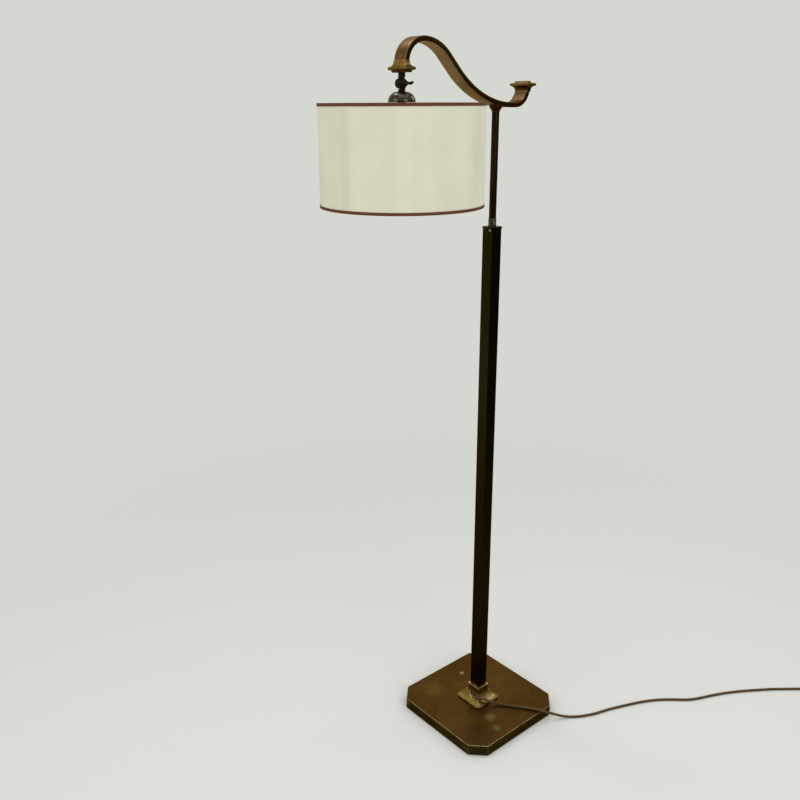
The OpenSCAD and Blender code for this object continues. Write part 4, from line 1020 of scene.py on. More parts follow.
NODE_FINISH: tuple[tuple[Finish, tuple[str, ...]], ...] = (
    (FLANGE_BRASS, ("foot_flange",)),
    (COLUMN_BRASS, ("column", "column_cap")),
    (MAST_BRASS, ("mast",)),
    (WORN_BRASS, ("guide_sleeve",)),
    (INNER_BRASS, ("column_plug", "slide_block", "stop_collar", "ring_nut", "shade_ring")),
    (CONTACT_BRASS, ("screw_shell", "centre_contact")),
    (BRONZE, ("cap_screw", "holder_cap", "holder_body", "switch_key")),
    (IRON, ("base_weight",)),
    (STEEL, ("tie_rod", "tie_washer", "tie_nut", "swivel_pin", "plug_pins")),
    (WIRE, ("shade_spider", "bottom_ring")),
    (BULB_CAP, ("bulb_cap",)),
    (PORCELAIN, ("holder_core",)),
    (PLUG_PLASTIC, ("lead_foot", "inner_lead")),
)


# Stage


@dataclass
class Studio:
    """Camera at the viewing angle, pale floor, and soft light. Lengths in metres, angles in degrees."""

    eye: Triple = (-1.3018, -1.2387, 1.4365)
    azimuth: float = 49.73
    pitch: float = 19.09
    roll: float = -0.26
    focal: float = 852.7 / 800.0
    sensor: float = 36.0
    pale: Colour = paint(213, 216, 208)
    mirrored: Colour = paint(152, 142, 122)
    floor_pale: Colour = paint(222, 224, 218)
    room_dark: Colour = paint(84, 82, 76)
    room_top: Colour = paint(206, 206, 198)
    fill: Colour = (0.5, 0.5, 0.49, 1.0)
    wall: Triple = (0.17, 0.98, 0.1)
    wall_band: Pair = (-0.45, 0.35)
    top_band: Pair = (0.1, 0.42)
    floor_rings: tuple[float, ...] = (0.0, 0.6, 1.2, 2.4, 7.0)
    floor_sides: int = 96
    floor_z: float = -0.0002
    floor_solid: float = 0.55
    floor_gone: float = 2.3
    aim: Triple = (0.0, 0.0, 0.9)
    lamps: tuple[tuple[str, Triple, float, float], ...] = (
        ("window", (-3.0, 0.3, 2.3), 1.8, 23.0),
        ("side_window", (2.4, -0.5, 2.6), 1.2, 10.0),
        ("ceiling", (-0.2, -0.4, 3.6), 2.6, 30.0),
        ("front", (-0.6, -3.4, 2.4), 2.2, 33.0),
        ("skylight", (-0.41, 1.4, 3.52), 0.5, 11.0),
    )

    def camera(self) -> None:
        """Places the camera by its right, up and back axes."""
        turn, tip, lean = (math.radians(a) for a in (self.azimuth, self.pitch, self.roll))
        ahead = Vector((math.cos(turn) * math.cos(tip), math.sin(turn) * math.cos(tip), -math.sin(tip)))
        flat = Vector((math.sin(turn), -math.cos(turn), 0.0))
        up = flat.cross(ahead)
        right = flat * math.cos(lean) + up * math.sin(lean)
        up = up * math.cos(lean) - flat * math.sin(lean)
        data = bpy.data.cameras.new("view")
        data.sensor_width, data.lens = self.sensor, self.focal * self.sensor
        eye = linked("view", data)
        axes = Matrix((right, up, -ahead)).transposed().to_4x4()
        eye.matrix_world = Matrix.Translation(self.eye) @ axes
        bpy.context.scene.camera = eye

    def floor(self) -> None:
        """Lays a round floor that fades away from the lamp and is darker in reflections."""
        reach = np.array(self.floor_rings)
        profile = np.stack([reach, np.full(len(reach), self.floor_z)], 1)
        grid = turned(profile, ORIGIN, self.floor_sides)
        quads = tiled(*grid.shape[:2])[0][:, ::-1]
        mesh = bpy.data.meshes.new("floor")
        mesh.from_pydata(grid.reshape(-1, 3).tolist(), [], quads.tolist())
        floor = linked("floor", mesh)
        look = bpy.data.materials.new("pale_floor")
        look.use_nodes = True
        tree = Tree(look.node_tree)
        place = tree.put("TexCoord").outputs["Object"]
        away = tree.put("VectorMath", {0: place}, operation="LENGTH").outputs["Value"]
        mirrored = tree.put("LightPath").outputs["Is Glossy Ray"]
        colour = tree.mix(mirrored, self.floor_pale, self.mirrored)
        matt = tree.put("BsdfDiffuse", {"Color": colour}).outputs[0]
        clear = tree.put("BsdfTransparent").outputs[0]
        gone = tree.band(away, self.floor_solid, self.floor_gone)
        tree.put("OutputMaterial", {0: tree.put("MixShader", {0: gone, 1: matt, 2: clear}).outputs[0]})
        mesh.materials.append(look)

    def world(self) -> None:
        """Pale background, darker in reflections away from the pale wall, and even soft light."""
        world = bpy.data.worlds.new("room")
        bpy.context.scene.world = world
        world.use_nodes = True
        tree = Tree(world.node_tree)
        path = tree.put("LightPath").outputs
        way = tree.put("TexCoord").outputs["Generated"]
        toward = tree.put("VectorMath", {0: way, 1: self.wall}, operation="DOT_PRODUCT").outputs["Value"]
        room = tree.mix(tree.band(toward, *self.wall_band), self.room_dark, self.pale)
        above = tree.put("SeparateXYZ", {0: way}).outputs[2]
        room = tree.mix(tree.band(above, *self.top_band), room, self.room_top)
        seen = tree.sum("MAXIMUM", path["Is Glossy Ray"], path["Is Transmission Ray"])
        colour = tree.mix(path["Is Camera Ray"], tree.mix(seen, self.fill, room), self.pale)
        tree.put("OutputWorld", {0: tree.put("Background", {0: colour, 1: 1.0}).outputs[0]})

    def lamp(self, name: str, place: Triple, size: float, power: float) -> None:
        """Hangs one soft square light that looks at the floor lamp's middle.

        Args:
            name: its name.
            place: where it hangs.
            size: its side.
            power: its power in watts.
        """
        data = bpy.data.lights.new(name, "AREA")
        data.energy, data.size = power, size
        made = linked(name, data)
        made.location = place
        made.rotation_euler = (Vector(self.aim) - Vector(place)).to_track_quat("-Z", "Y").to_euler()

    def build(self) -> None:
        """Sets up the whole stage."""
        bpy.context.scene.view_settings.view_transform = "Standard"
        self.camera()
        self.floor()
        self.world()
        for lamp in self.lamps:
            self.lamp(*lamp)


# Pieces


@dataclass
class Flex:
    """Cloth flex over the base and along the floor, its stored coil, tie and plug. Millimetres."""

    diameter: float = 6.0
    length: float = 2037.0
    sides: int = 14
    steps: int = 7
    turns: float = 5.1
    coil_steps: int = 40
    coil_r: float = 42.0
    pitch: float = 6.7
    layer: float = 6.8
    stub: float = 6.0
    exit_stub: float = 14.22
    run_in: float = 8.0
    sleeve: float = 24.0
    sleeve_r: Pair = (3.6, 6.0)
    rib: Triple = (0.45, 0.4, 4.0)
    rib_ends: Pair = (3.0, 2.0)
    rib_rows: int = 46
    plug: Triple = (36.0, 34.0, 20.0)
    plug_rows: tuple[float, ...] = (0.0, 0.6, 1.6, 3.2, 5.6, 9.0, 14.0, 20.0, 27.0, 32.0, 34.4, 35.5)
    plug_sides: int = 56
    plug_square: float = 3.0
    shoulder: Pair = (6.2, 9.0)
    nose: float = 1.6
    tie_angle: float = 165.0
    tie_section: Pair = (9.0, 0.6)
    tie_round: float = 3.2
    tie_soft: float = 0.9
    lead_d: float = 5.6
    lead_z: Pair = (122.0, 872.8)
    lead_rows: int = 60
    slack: float = 0.4
    route: tuple[Triple, ...] = (
        (-16, 4, 45.4), (-23.2, -3.1, 46), (-26.3, -10.1, 46.6), (-25.4, -18.3, 47.8), (-20.3, -26.4, 47.5),
        (-12.9, -32.5, 44), (-5.4, -37.9, 39.6), (1.5, -45.2, 37.2), (13, -56.3, 33.2), (25.8, -72.1, 31.4),
        (37.4, -87.7, 31.2), (47.9, -101.7, 31.5), (65.7, -126.5, 31.9), (77.4, -143.8, 31),
        (94, -155.4, 22.5), (111.4, -164.2, 13), (125.8, -173.3, 7), (139, -182.5, 4.2),
        (151.8, -191.6, 3.3), (165.1, -200.2, 3.2), (191.3, -213.3, 3.2), (214.5, -221.3, 3.2),
        (238.6, -229.4, 3.2), (263.7, -239.4, 3.2), (289.9, -250.5, 3.2), (317, -262.6, 3.2),
        (343.2, -276.6, 3.2), (367.3, -292.7, 3.2), (391.5, -312.8, 3.2), (417.6, -336, 3.2),
        (445.8, -352.1, 3.2), (474.9, -365.1, 3.2), (504.1, -379.2, 3.2), (532.2, -395.3, 3.2),
        (559.4, -412.4, 3.2), (613.7, -450.6, 3.2), (639.8, -471.7, 3.2),
        (665, -492.8, 3.3), (688.1, -512.9, 3.7), (711.2, -533.1, 4.3),
    )

    def smooth(self) -> np.ndarray:
        """Route as a smooth line through its points.

        Between points b and c with neighbours a and d, at share t:
        half of (2b + (c - a) t + (2a - 5b + 4c - d) t^2 + (3b - a - 3c + d) t^3).

        Returns:
            Points, shape (n, 3).
        """
        at = np.array(self.route, float)
        at = np.concatenate([2 * at[:1] - at[1:2], at, 2 * at[-1:] - at[-2:-1]])
        a, b, c, d = (at[k : len(at) - 3 + k, None] for k in range(4))
        t = (np.arange(self.steps) / self.steps)[None, :, None]
        line = 2 * b + (c - a) * t + (2 * a - 5 * b + 4 * c - d) * t**2 + (3 * b - a - 3 * c + d) * t**3
        return np.concatenate([line.reshape(-1, 3) / 2, at[-2:-1]])

    def heading(self) -> np.ndarray:
        """Unit direction in which the flex enters its coil."""
        step = np.array(self.route[-1], float) - np.array(self.route[-2], float)
        step[2] = 0.0
        return unit(step)

    def middle(self) -> np.ndarray:
        """Middle of the coil."""
        ahead = self.heading()
        entry = np.array(self.route[-1], float) + self.stub * ahead
        return entry - self.coil_r * np.array([-ahead[1], ahead[0], 0.0])

    def coil(self) -> np.ndarray:
        """Clockwise winding, inwards on the lower layer and outwards on the upper one.

        With m = turns / 2: r = outer - pitch (m - |turn - m|), and z rises one layer over the half turn
        round m.

        Returns:
            Points, shape (n, 3).
        """
        ahead, middle = self.heading(), self.middle()
        turn = np.linspace(0, self.turns, int(self.turns * self.coil_steps))
        half = self.turns / 2
        angle = math.atan2(ahead[0], -ahead[1]) - TURN * turn
        ring = self.coil_r - self.pitch * (half - np.abs(turn - half))
        rise = self.layer * np.clip(2 * (turn - half) + 0.5, 0, 1)
        return middle + np.stack([ring * np.cos(angle), ring * np.sin(angle), rise], 1)

    def end(self) -> tuple[np.ndarray, np.ndarray]:
        """Far end of the flex.

        Returns:
            Where the plug's sleeve starts, and the direction in which the plug points.
        """
        ahead = self.heading()
        angle = math.atan2(ahead[0], -ahead[1]) - TURN * self.turns
        out = np.array([math.sin(angle), -math.cos(angle), 0.0])
        return self.coil()[-1] + self.exit_stub * out, out

    def path(self) -> np.ndarray:
        """The whole flex from the flange to inside the plug's sleeve."""
        start, out = self.end()
        inside = np.stack([start - out * self.run_in, start, start + out * self.sleeve / 2])
        return np.concatenate([self.smooth(), self.coil(), inside])

    def tube(self) -> bpy.types.Object:
        """Round section carried along the path, with level sides, so that the braid runs true.

        Returns:
            The flex.
        """
        path = self.path()
        ahead = headings(path)
        side = unit(np.cross(ahead, UP))
        angle = spokes(self.sides)
        section = self.diameter / 2 * np.stack([np.cos(angle), np.sin(angle)], 1)
        grid = capped(carried(path, section, side, np.cross(side, ahead)))
        flex = Skin("flex").add(grid).build(
            "stand", FLEX_BRAID, "flex", ("flex_cord", "flex_coil"), sharp=80.0)
        self.measure(flex, path)
        return flex

    @staticmethod
    def measure(flex: bpy.types.Object, path: np.ndarray) -> None:
        """Sets the flex's first UV axis to metres along the path, from each vertex's row.

        Args:
            flex: the flex.
            path: its middle line in millimetres.
        """
        mesh = flex.data
        along = np.concatenate([[0.0], np.cumsum(np.linalg.norm(np.diff(path, axis=0), axis=1))]) * MM
        uv = np.zeros(len(mesh.loops) * 2, np.float32)
        layer = mesh.uv_layers[UV_NAME]
        layer.data.foreach_get("uv", uv)
        row = uv[0::2] * (len(path) + 1) - 1.0
        uv[0::2] = np.interp(row, np.arange(len(path)), along)
        layer.data.foreach_set("uv", uv)

    def lead(self) -> None:
        """Lead in the column: a round bar from its foot up to the slider's rest height, with its transform
        baked in.
        """
        low, high = self.lead_z
        rise = np.linspace(low, high, self.lead_rows)
        profile = np.column_stack([np.full(len(rise), self.lead_d / 2), rise])
        profile = np.concatenate([[(0.0, low)], profile, [(0.0, high)]])
        Skin("column_lead_bar").add(turned(profile, ORIGIN, self.sides)).build(
            "stand", PLUG_PLASTIC, "flex", ("column_lead",), sharp=50.0, towards=("slider", low, high))

    def plug_moulding(self) -> bpy.types.Object:
        """Two-pin plug with a ribbed sleeve: a squared circle that changes along its length.

        The sleeve is a cone with a cut-off sine wave on it. The body widens by the root of the way along
        its shoulder, squares up as it widens, and draws in by a quarter circle at its nose.

        Returns:
            The plug.
        """
        start, out = self.end()
        long, wide, deep = self.plug
        ribs, (rib_h, rib_dip, rib_pitch) = np.linspace(0, self.sleeve, self.rib_rows), self.rib
        wave = rib_h * np.clip(np.sin(ribs * TURN / rib_pitch), -rib_dip, 1.0)
        wave = wave * (ribs > self.rib_ends[0]) * (ribs < self.sleeve - self.rib_ends[1])
        cone = self.sleeve_r[0] + (self.sleeve_r[1] - self.sleeve_r[0]) * ribs / self.sleeve + wave
        body, (neck, reach) = np.array([*self.plug_rows, long]), self.shoulder
        spread = np.clip(body / reach, 0, 1) ** 0.5
        past = np.clip((body - (long - self.nose)) / self.nose, 0, 1)
        front = np.sqrt(np.clip(1 - past**2, 0, 1)) * self.nose - self.nose
        half_w, half_d = (
            np.concatenate([cone, neck + (size / 2 - neck) * spread + front]) for size in (wide, deep))
        power = 2.0 / np.concatenate([np.full(len(ribs), 2.0), 2.0 + self.plug_square * spread])
        path = start + np.concatenate([ribs, self.sleeve + body])[:, None] * out
        section = squared(half_w, half_d, power, self.plug_sides)
        grid = carried(path, section, np.array([-out[1], out[0], 0.0]), np.array(UP))
        return Skin("plug_moulding").add(capped(grid)).build(
            "stand", PLUG_PLASTIC, "plug_plastic", ("plug_body",))

    def tie(self) -> bpy.types.Object:
        """Cloth band round the coil's turns: a thin section carried round a rectangle with round corners.

        Returns:
            The tie.
        """
        gap, wide, half = self.diameter / 2 + self.slack, self.tie_section[0] / 2, self.tie_section[1] / 2
        low, high = self.route[-1][2] - gap - half, self.route[-1][2] + self.layer + gap + half
        inner, outer = self.coil_r - self.pitch * self.turns / 2 - gap - half, self.coil_r + gap + half
        corners = [(inner, low), (outer, low), (outer, high), (inner, high)]
        loop = rounded(corners, (self.tie_round,) * 4, steps=8, closed=True)
        turn = math.radians(self.tie_angle)
        radial, across = ((math.cos(a), math.sin(a), 0.0) for a in (turn, turn + TURN / 4))
        middle = self.middle() * np.array([1.0, 1.0, 0.0])
        path = middle + loop[:, :1] * np.array(radial) + loop[:, 1:] * np.array(UP)
        ahead = unit(np.roll(path, -1, 0) - np.roll(path, 1, 0))
        corners = [(-wide, -half), (wide, -half), (wide, half), (-wide, half)]
        edge = rounded(corners, (half * self.tie_soft,) * 4, steps=4, closed=True)
        grid = carried(path, edge, np.array(across), np.cross(ahead, across))
        return Skin("flex_tie").add(grid, loop=True).build(
            "stand", TIE_CLOTH, "plug_plastic", ("coil_tie",))

    def build(self) -> None:
        flex, plug, tie = self.tube(), self.plug_moulding(), self.tie()
        self.lead()
        tuple(v * MM for v in self.route[0])
        (self.path() * MM).tolist()


@dataclass
class Base:
    """Octagonal brass tray and the felt under it. Millimetres."""

    side: float = 285.0
    cut: float = 33.0
    foot_z: float = 2.0
    top_z: float = 28.0
    wall: float = 1.6
    corner: float = 2.4
    corner_falls: float = 0.6
    corner_min: float = 0.8
    edge: float = 1.5
    foot_edge: tuple[Pair, ...] = ((0.5, 0.0), (0.15, 0.15), (0.0, 0.5))
    top_flat: float = 1.0
    top_rings: tuple[float, ...] = (20.0, 60.0, 100.0)
    fan: float = 40.0
    pad_inset: float = 4.0
    pad_edge: Pair = (0.4, 0.3)

    def outline(self, inset: float, corner: float) -> np.ndarray:
        """Octagon with round corners: inset by d, its half side is less by d, and its cut by d (2 - sqrt 2).

        Args:
            inset: how far it lies inside the base's outline.
            corner: radius of its corners.

        Returns:
            Points, shape (n, 2).
        """
        half = self.side / 2 - inset
        far = half - (self.cut - inset * (2 - math.sqrt(2)))
        ring = [(half, -far), (half, far), (far, half), (-far, half)]
        ring += [(-x, -y) for x, y in ring]
        return rounded(ring, (corner,) * 8, closed=True)

    def stack(self, levels: list[Pair]) -> np.ndarray:
        """Octagon levels of (inset, height), which shrink evenly to the middle past the fan's inset.

        Args:
            levels: the levels from first to last.

        Returns:
            Grid of points, shape (levels, n, 3).
        """
        half, rows = self.side / 2, []
        for inset, rise in levels:
            corner = max(self.corner - inset * self.corner_falls, self.corner_min)
            ring = self.outline(min(inset, self.fan), corner)
            if inset > self.fan:
                ring = ring * (half - inset) / (half - self.fan)
            rows.append(np.column_stack([ring, np.full(len(ring), rise)]))
        return np.stack(rows)

    def build(self) -> None:
        """Makes the tray, with a rounded top edge, and the felt pad."""
        half, e, p, foot, top = self.side / 2, self.edge, self.pad_inset, self.foot_z, self.top_z
        roof, low, high = top - self.wall, *self.pad_edge
        inside = [(half, roof), (self.top_rings[1], roof), (self.wall, roof), (self.wall, foot)]
        outside = [(inset, foot + rise) for inset, rise in self.foot_edge]
        crown = [(inset, top) for inset in (e + self.top_flat, *self.top_rings, half)]
        edge = arc((e, top - e), e, 180, 90, steps=6)
        tray = self.stack([*inside, *outside, *edge, *crown])
        Skin("base_tray").add(tray).build("stand", BASE_BRASS, "base_brass", ("base_shell",), sharp=50.0)
        pad = [(half, 0.0), (p + low, 0.0), (p, low), (p, foot - low), (p + high, foot), (half, foot)]
        Skin("felt_pad").add(self.stack(pad)).build("stand", FELT, "felt", ("base_pad",))


@dataclass
class Arm:
    """Swan-neck strap, two flared ends and the collar below. Millimetres; the arcs are (x, z, radius)."""

    width: float = 32.0
    thick: float = 9.5
    corner: float = 1.3
    lamp_x: float = LAMP_X
    tail_x: float = 76.81
    start_z: float = 1502.0
    hook: Triple = (-203.0, 1506.5, 42.0)
    crown: Triple = (-203.0, 1463.5, 85.0)
    sweep: Triple = (32.81, 1647.7, 212.0)
    tail: Triple = (42.81, 1469.7, 34.0)
    tail_top: float = 1470.2
    tail_rows: int = 260
    cap_z: float = CAP_Z
    finial_z: float = 1481.17
    neck: Pair = (5.55, 16.8)
    neck_lip: float = 0.6
    flare: float = 8.0
    flare_r: float = 9.0
    cove_turn: float = 76.0
    cove_gap: float = 2.3
    moulding_r: tuple[float, ...] = (0.0, 2.4, 0.6, 2.4, 2.2, 0.0)
    moulding_corner: Pair = (1.0, 0.18)
    rim: float = 5.0
    plinth: float = 4.0
    plinth_inset: float = 5.0
    plinth_flat: float = 3.0
    tail_inset: float = 7.5
    body: float = 17.94
    neck_rise: float = 3.0
    fold_r: float = 1.1
    fold_w: float = 2.2
    folds: tuple[float, ...] = (318.0, 327.0, 336.0)
    collar_z: tuple[float, ...] = (1423.0, 1425.0, 1430.9, 1438.0)
    collar_r: Pair = (8.5, 13.0)
    collar_crease: Pair = (0.2, 0.4)
    collar_edges: tuple[float, ...] = (0.0, 0.7, 0.3, 0.0, 0.8, 0.3, 0.0)
    mast_r: float = 7.5

    def centreline(self) -> tuple[np.ndarray, np.ndarray]:
        """Line of the strap in X and Z, and how far its inner face stands out at each point.

        It rises, turns over a hook and a crown, runs down a slope, sweeps up, and ends in a tail with
        three folds, each a wave cos^2 across its width.

        Returns:
            Points, shape (n, 2), and the folds' height at each.
        """
        tail_angle = np.linspace(270, 360, self.tail_rows)
        tail = arc(self.tail[:2], self.tail[2], 270, 360, self.tail_rows)
        line = np.concatenate([
            [(self.lamp_x, self.start_z)],
            arc(self.hook[:2], self.hook[2], 180, 90, steps=48)[:-1],
            arc(self.crown[:2], self.crown[2], 90, 45, steps=44),
            arc(self.sweep[:2], self.sweep[2], 225, 270, steps=84),
            tail,
            [(self.tail_x, self.tail_top)],
        ])
        inner = self.tail[2] - self.thick / 2
        apart = np.radians(tail_angle[:, None] - np.array(self.folds)) * inner / self.fold_w
        bulge = self.fold_r * (np.cos(np.clip(apart, -1, 1) * math.pi / 2) ** 2).max(1)
        return line, np.concatenate([np.zeros(len(line) - len(tail) - 1), bulge, [0.0]])

    def strap(self) -> None:
        """Rectangle with round edges carried along the centreline; its inner face bulges at the folds."""
        line, bulge = self.centreline()
        path = np.column_stack([line[:, 0], np.zeros(len(line)), line[:, 1]])
        ahead = headings(path)
        across = np.array([0.0, 1.0, 0.0])
        out = np.cross(ahead, across)
        w, t, r = self.width / 2, self.thick / 2, self.corner
        corners = [(-w, -t), (0, -t), (w, -t), (w, 0), (w, t), (0, t), (-w, t), (-w, 0)]
        edge = rounded(corners, (r, 0, r, 0) * 2, closed=True)
        section = np.broadcast_to(edge, (len(path), *edge.shape)).copy()
        inner = np.sign((np.array([self.tail[0], 0.0, self.tail[1]]) - path[-2]) @ out[-2])
        face = np.clip((section[..., 1] * inner - (t - self.corner)) / self.corner, 0, 1)
        section[..., 1] += inner * face * bulge[:, None]
        grid = capped(carried(path, section, across, out))
        Skin("arm_strap").add(grid).build("mast", ARM_BRASS, "arm_brass", ("arm",))

    def moulding(self, inset: float) -> tuple[np.ndarray, np.ndarray]:
        """Outline of an end: plinth, rounded rim, and a cove that comes in to the neck.

        Args:
            inset: how far the plinth lies inside the rim.

        Returns:
            Rows of (distance out from the neck, height), and each row's corner radius.
        """
        out, rim_top = self.flare, self.plinth + self.rim
        foot = self.flare - inset
        cove = arc((self.flare_r, self.body), self.flare_r, 180 + self.cove_turn, 180, steps=14)
        cove = cove[cove[:, 0] < out - self.cove_gap]
        corners = [(foot - self.plinth_flat, 0.0), (foot, 0.0), (foot, self.plinth), (out, self.plinth),
                   (out, rim_top), tuple(cove[0])]
        lower = rounded(corners, self.moulding_r, steps=7)
        lip, neck_top = self.neck_lip, self.body + self.neck_rise
        rows = np.concatenate([lower, cove[1:], [(0.0, neck_top - lip), (-lip, neck_top)]])
        least, grows = self.moulding_corner
        return rows, least + np.clip(rows[:, 0], 0, None) * grows

    def end(self, name: str, node: str, place: Pair, rise: float, inset: float) -> None:
        """One flared end, as a stack of rectangles with round corners.

        Args:
            name: the piece's name.
            node: the node that it stands for.
            place: X and height of its plinth's outer face.
            rise: 1 where it stands up from the plinth, -1 where it hangs.
            inset: how far the plinth lies inside the rim.
        """
        rows, corner = self.moulding(inset)
        half_x, half_y = (half + rows[:, 0] for half in self.neck)
        grid = boxed(half_x, half_y, corner, rows[:, 1], steps=7)
        grid = grid * np.array([1.0, 1.0, rise]) + np.array([place[0], 0.0, place[1]])
        Skin(name).add(capped(grid)).build("mast", MOULDING_BRASS, "flange_brass", (node,))

    def collar(self) -> None:
        """Turned collar under the strap: bead, hollow cone and rim."""
        foot, bead, cone, top = self.collar_z
        small, large = self.collar_r
        crease = (small - self.collar_crease[0], bead + self.collar_crease[1])
        corners = [(self.mast_r, foot), (small, foot), (small, bead), crease, (large, cone), (large, top),
                   (self.mast_r, top)]
        grid = turned(rounded(corners, self.collar_edges, steps=5), ORIGIN, sides=72)
        Skin("arm_collar_turned").add(grid, loop=True).build(
            "mast", MOULDING_BRASS, "flange_brass", ("arm_collar",))

    def build(self) -> None:
        """Makes the strap, its ends and its collar."""
        self.strap()
        self.end("arm_cap_moulding", "arm_cap", (self.lamp_x, self.cap_z), 1.0, self.plinth_inset)
        self.end("arm_finial_moulding", "arm_finial", (self.tail_x, self.finial_z), -1.0, self.tail_inset)
        self.collar()


@dataclass
class Knuckle:
    """Tilt joint over the shade: two ears, their stems, a spade-headed screw, and the dome. Millimetres."""

    x: float = LAMP_X
    z: float = 1473.0
    gap: float = 0.15
    ear_r: float = 9.0
    ear_edges: tuple[float, ...] = (0.0, 0.4, 4.4, 0.0)
    upper: float = 11.5
    lower: float = 8.0
    stem_r: float = 6.5
    stem_gap: float = 10.0
    stem_sides: int = 40
    step: float = 0.02
    cap_z: float = CAP_Z
    dome_foot: float = 1441.0
    dome_rise: float = 18.5
    dome_flat: float = 7.0
    dome_wall: float = 1.0
    dome_roll: float = 0.4
    spigot_r: float = 5.0
    spigot: float = 20.0
    head_gap: float = 0.2
    shank: Pair = (2.3, 5.0)
    cone: Triple = (5.5, 1.7, 12.0)
    cone_edge: Pair = (0.3, 1.6)
    cone_edges: tuple[float, ...] = (0.0, 0.5, 0.6, 0.0, 0.0)
    cone_tip: float = 0.2
    spade: Triple = (11.0, 9.0, 3.8)
    spade_rows: int = 26
    spade_in: float = 0.6
    spade_widest: float = 0.5
    spade_grows: float = 1.5
    spade_tip: float = 0.72
    spade_thins: float = 0.45
    spade_blunt: float = 1.6
    spade_power: float = 0.6
    spade_turn: float = 145.0

    def ear(self, width: float, side: float) -> np.ndarray:
        """Round ear turned about the tilt axis, with its outer edge rounded.

        Args:
            width: how far its outer face stands from the joint's middle plane.
            side: 1 where it lies towards +Y, -1 towards -Y.

        Returns:
            Grid of points.
        """
        corners = [(0.0, self.gap), (self.ear_r, self.gap), (self.ear_r, width), (0.0, width)]
        profile = rounded(corners, self.ear_edges, steps=9) * np.array([1.0, side])
        return turned(profile, (self.x, 0.0, self.z), sides=56, about_y=True)

    def stem(self, low: float, high: float, side: float, whole: Pair) -> np.ndarray:
        """Round stem whose half beyond the joint's middle plane is cut away outside a range of heights.

        Args:
            low: lowest point.
            high: highest point.
            side: which half stays.
            whole: heights between which it is whole.

        Returns:
            Grid of points.
        """
        rise = np.array([low, whole[0], whole[0], whole[1], whole[1], high])
        half = np.array([True, True, False, False, True, True])
        angle, shape = spokes(self.stem_sides), (len(rise), self.stem_sides)
        x = np.broadcast_to(self.stem_r * np.cos(angle), shape)
        y = np.broadcast_to(self.stem_r * np.sin(angle), shape) * side
        y = np.where(half[:, None], np.maximum(y, self.gap), y) * side
        return capped(np.stack([self.x + x, y, np.broadcast_to(rise[:, None], shape)], -1))

    def screw(self) -> None:
        """Cone turned about the tilt axis, and a flat spade that widens and thins to a round end.

        With t the share of the way to its widest place, the spade's half width grows by t^1.5 and then
        stays. Its half depth falls evenly. Both are drawn in at the tip by a quarter ellipse.
        """
        foot, head = (self.x, 0.0, self.z), -self.lower - self.head_gap
        wide, thin, long = self.cone
        tip = head - long
        edge = (wide - self.cone_edge[0], head - self.cone_edge[1])
        corners = [(0.0, head), (wide, head), edge, (thin + self.cone_tip, tip), (0.0, tip)]
        profile = rounded(corners, self.cone_edges, steps=5)
        shank_r, shank_end = self.shank
        shank = np.array([(0.0, shank_end), (shank_r, shank_end), (shank_r, head), (0.0, head)])
        reach, across, deep = self.spade
        run = np.linspace(0, 1, self.spade_rows)
        last = np.clip((run - self.spade_tip) / (1 - self.spade_tip), 0, 1)
        draw = np.sqrt(np.clip(1 - last**2, 0, 1))
        grown = np.clip(run / self.spade_widest, 0, 1) ** self.spade_grows
        half_w = (thin + (across / 2 - thin) * grown) * draw
        half_t = (deep / 2 - self.spade_thins * run) * np.clip(draw * self.spade_blunt, 0, 1)
        section = squared(half_w, half_t, np.full(len(run), self.spade_power), sides=32)
        path = np.array(foot) + np.outer(tip + self.spade_in - run * reach, (0.0, 1.0, 0.0))
        turn = math.radians(self.spade_turn)
        side, up = (np.array([math.cos(a), 0.0, -math.sin(a)]) for a in (turn, turn - TURN / 4))
        skin = Skin("thumb_spade")
        for line, sides in ((profile, 48), (shank, 24)):
            skin.add(turned(line, foot, sides, about_y=True))
        skin.add(capped(carried(path, section, side, up))).build("thumb", BRONZE, "bronze", ("thumb_screw",))

    def dome(self) -> None:
        """Spun dome: a flat crown and a quarter circle, with an even wall and a rolled rim."""
        r, w = self.dome_rise, self.dome_wall
        outer = arc((self.dome_flat, 0.0), r, 90, 0, steps=26)
        inner = arc((self.dome_flat, 0.0), r - w, 0, 90, steps=26)
        rim = arc((self.dome_flat + r - w / 2, 0.0), w / 2, 0, -180, steps=7)[1:-1]
        rim = rim * np.array([1.0, self.dome_roll])
        loop = np.concatenate([[(self.spigot_r, r)], outer, rim, inner, [(self.spigot_r, r - w)]])
        grid = turned(loop, (self.x, 0.0, self.dome_foot), sides=96)
        Skin("dome_spun").add(grid, loop=True).build("head", DOME_BRONZE, "bronze", ("dome",))

    def build(self) -> None:
        """Makes both halves of the knuckle, the screw and the dome."""
        top = self.dome_foot + self.dome_rise
        upper = self.stem(self.z, self.cap_z, 1.0, (self.z + self.stem_gap, self.cap_z - self.step))
        r, low = self.spigot_r, -self.spigot
        spigot = np.array([(0.0, 0.0), (r, 0.0), (r, low), (0.0, low)])
        Skin("knuckle_upper_turned").add(self.ear(self.upper, 1.0)).add(upper).build(
            "mast", BRONZE, "bronze", ("knuckle_upper",))
        lower = self.stem(top, self.z, -1.0, (top + self.step, self.z - self.stem_gap))
        Skin("knuckle_lower_turned").add(self.ear(self.lower, -1.0)).add(lower).add(
            turned(spigot, (self.x, 0.0, top), sides=32)).build("head", BRONZE, "bronze", ("knuckle_lower",))
        self.screw()
        self.dome()


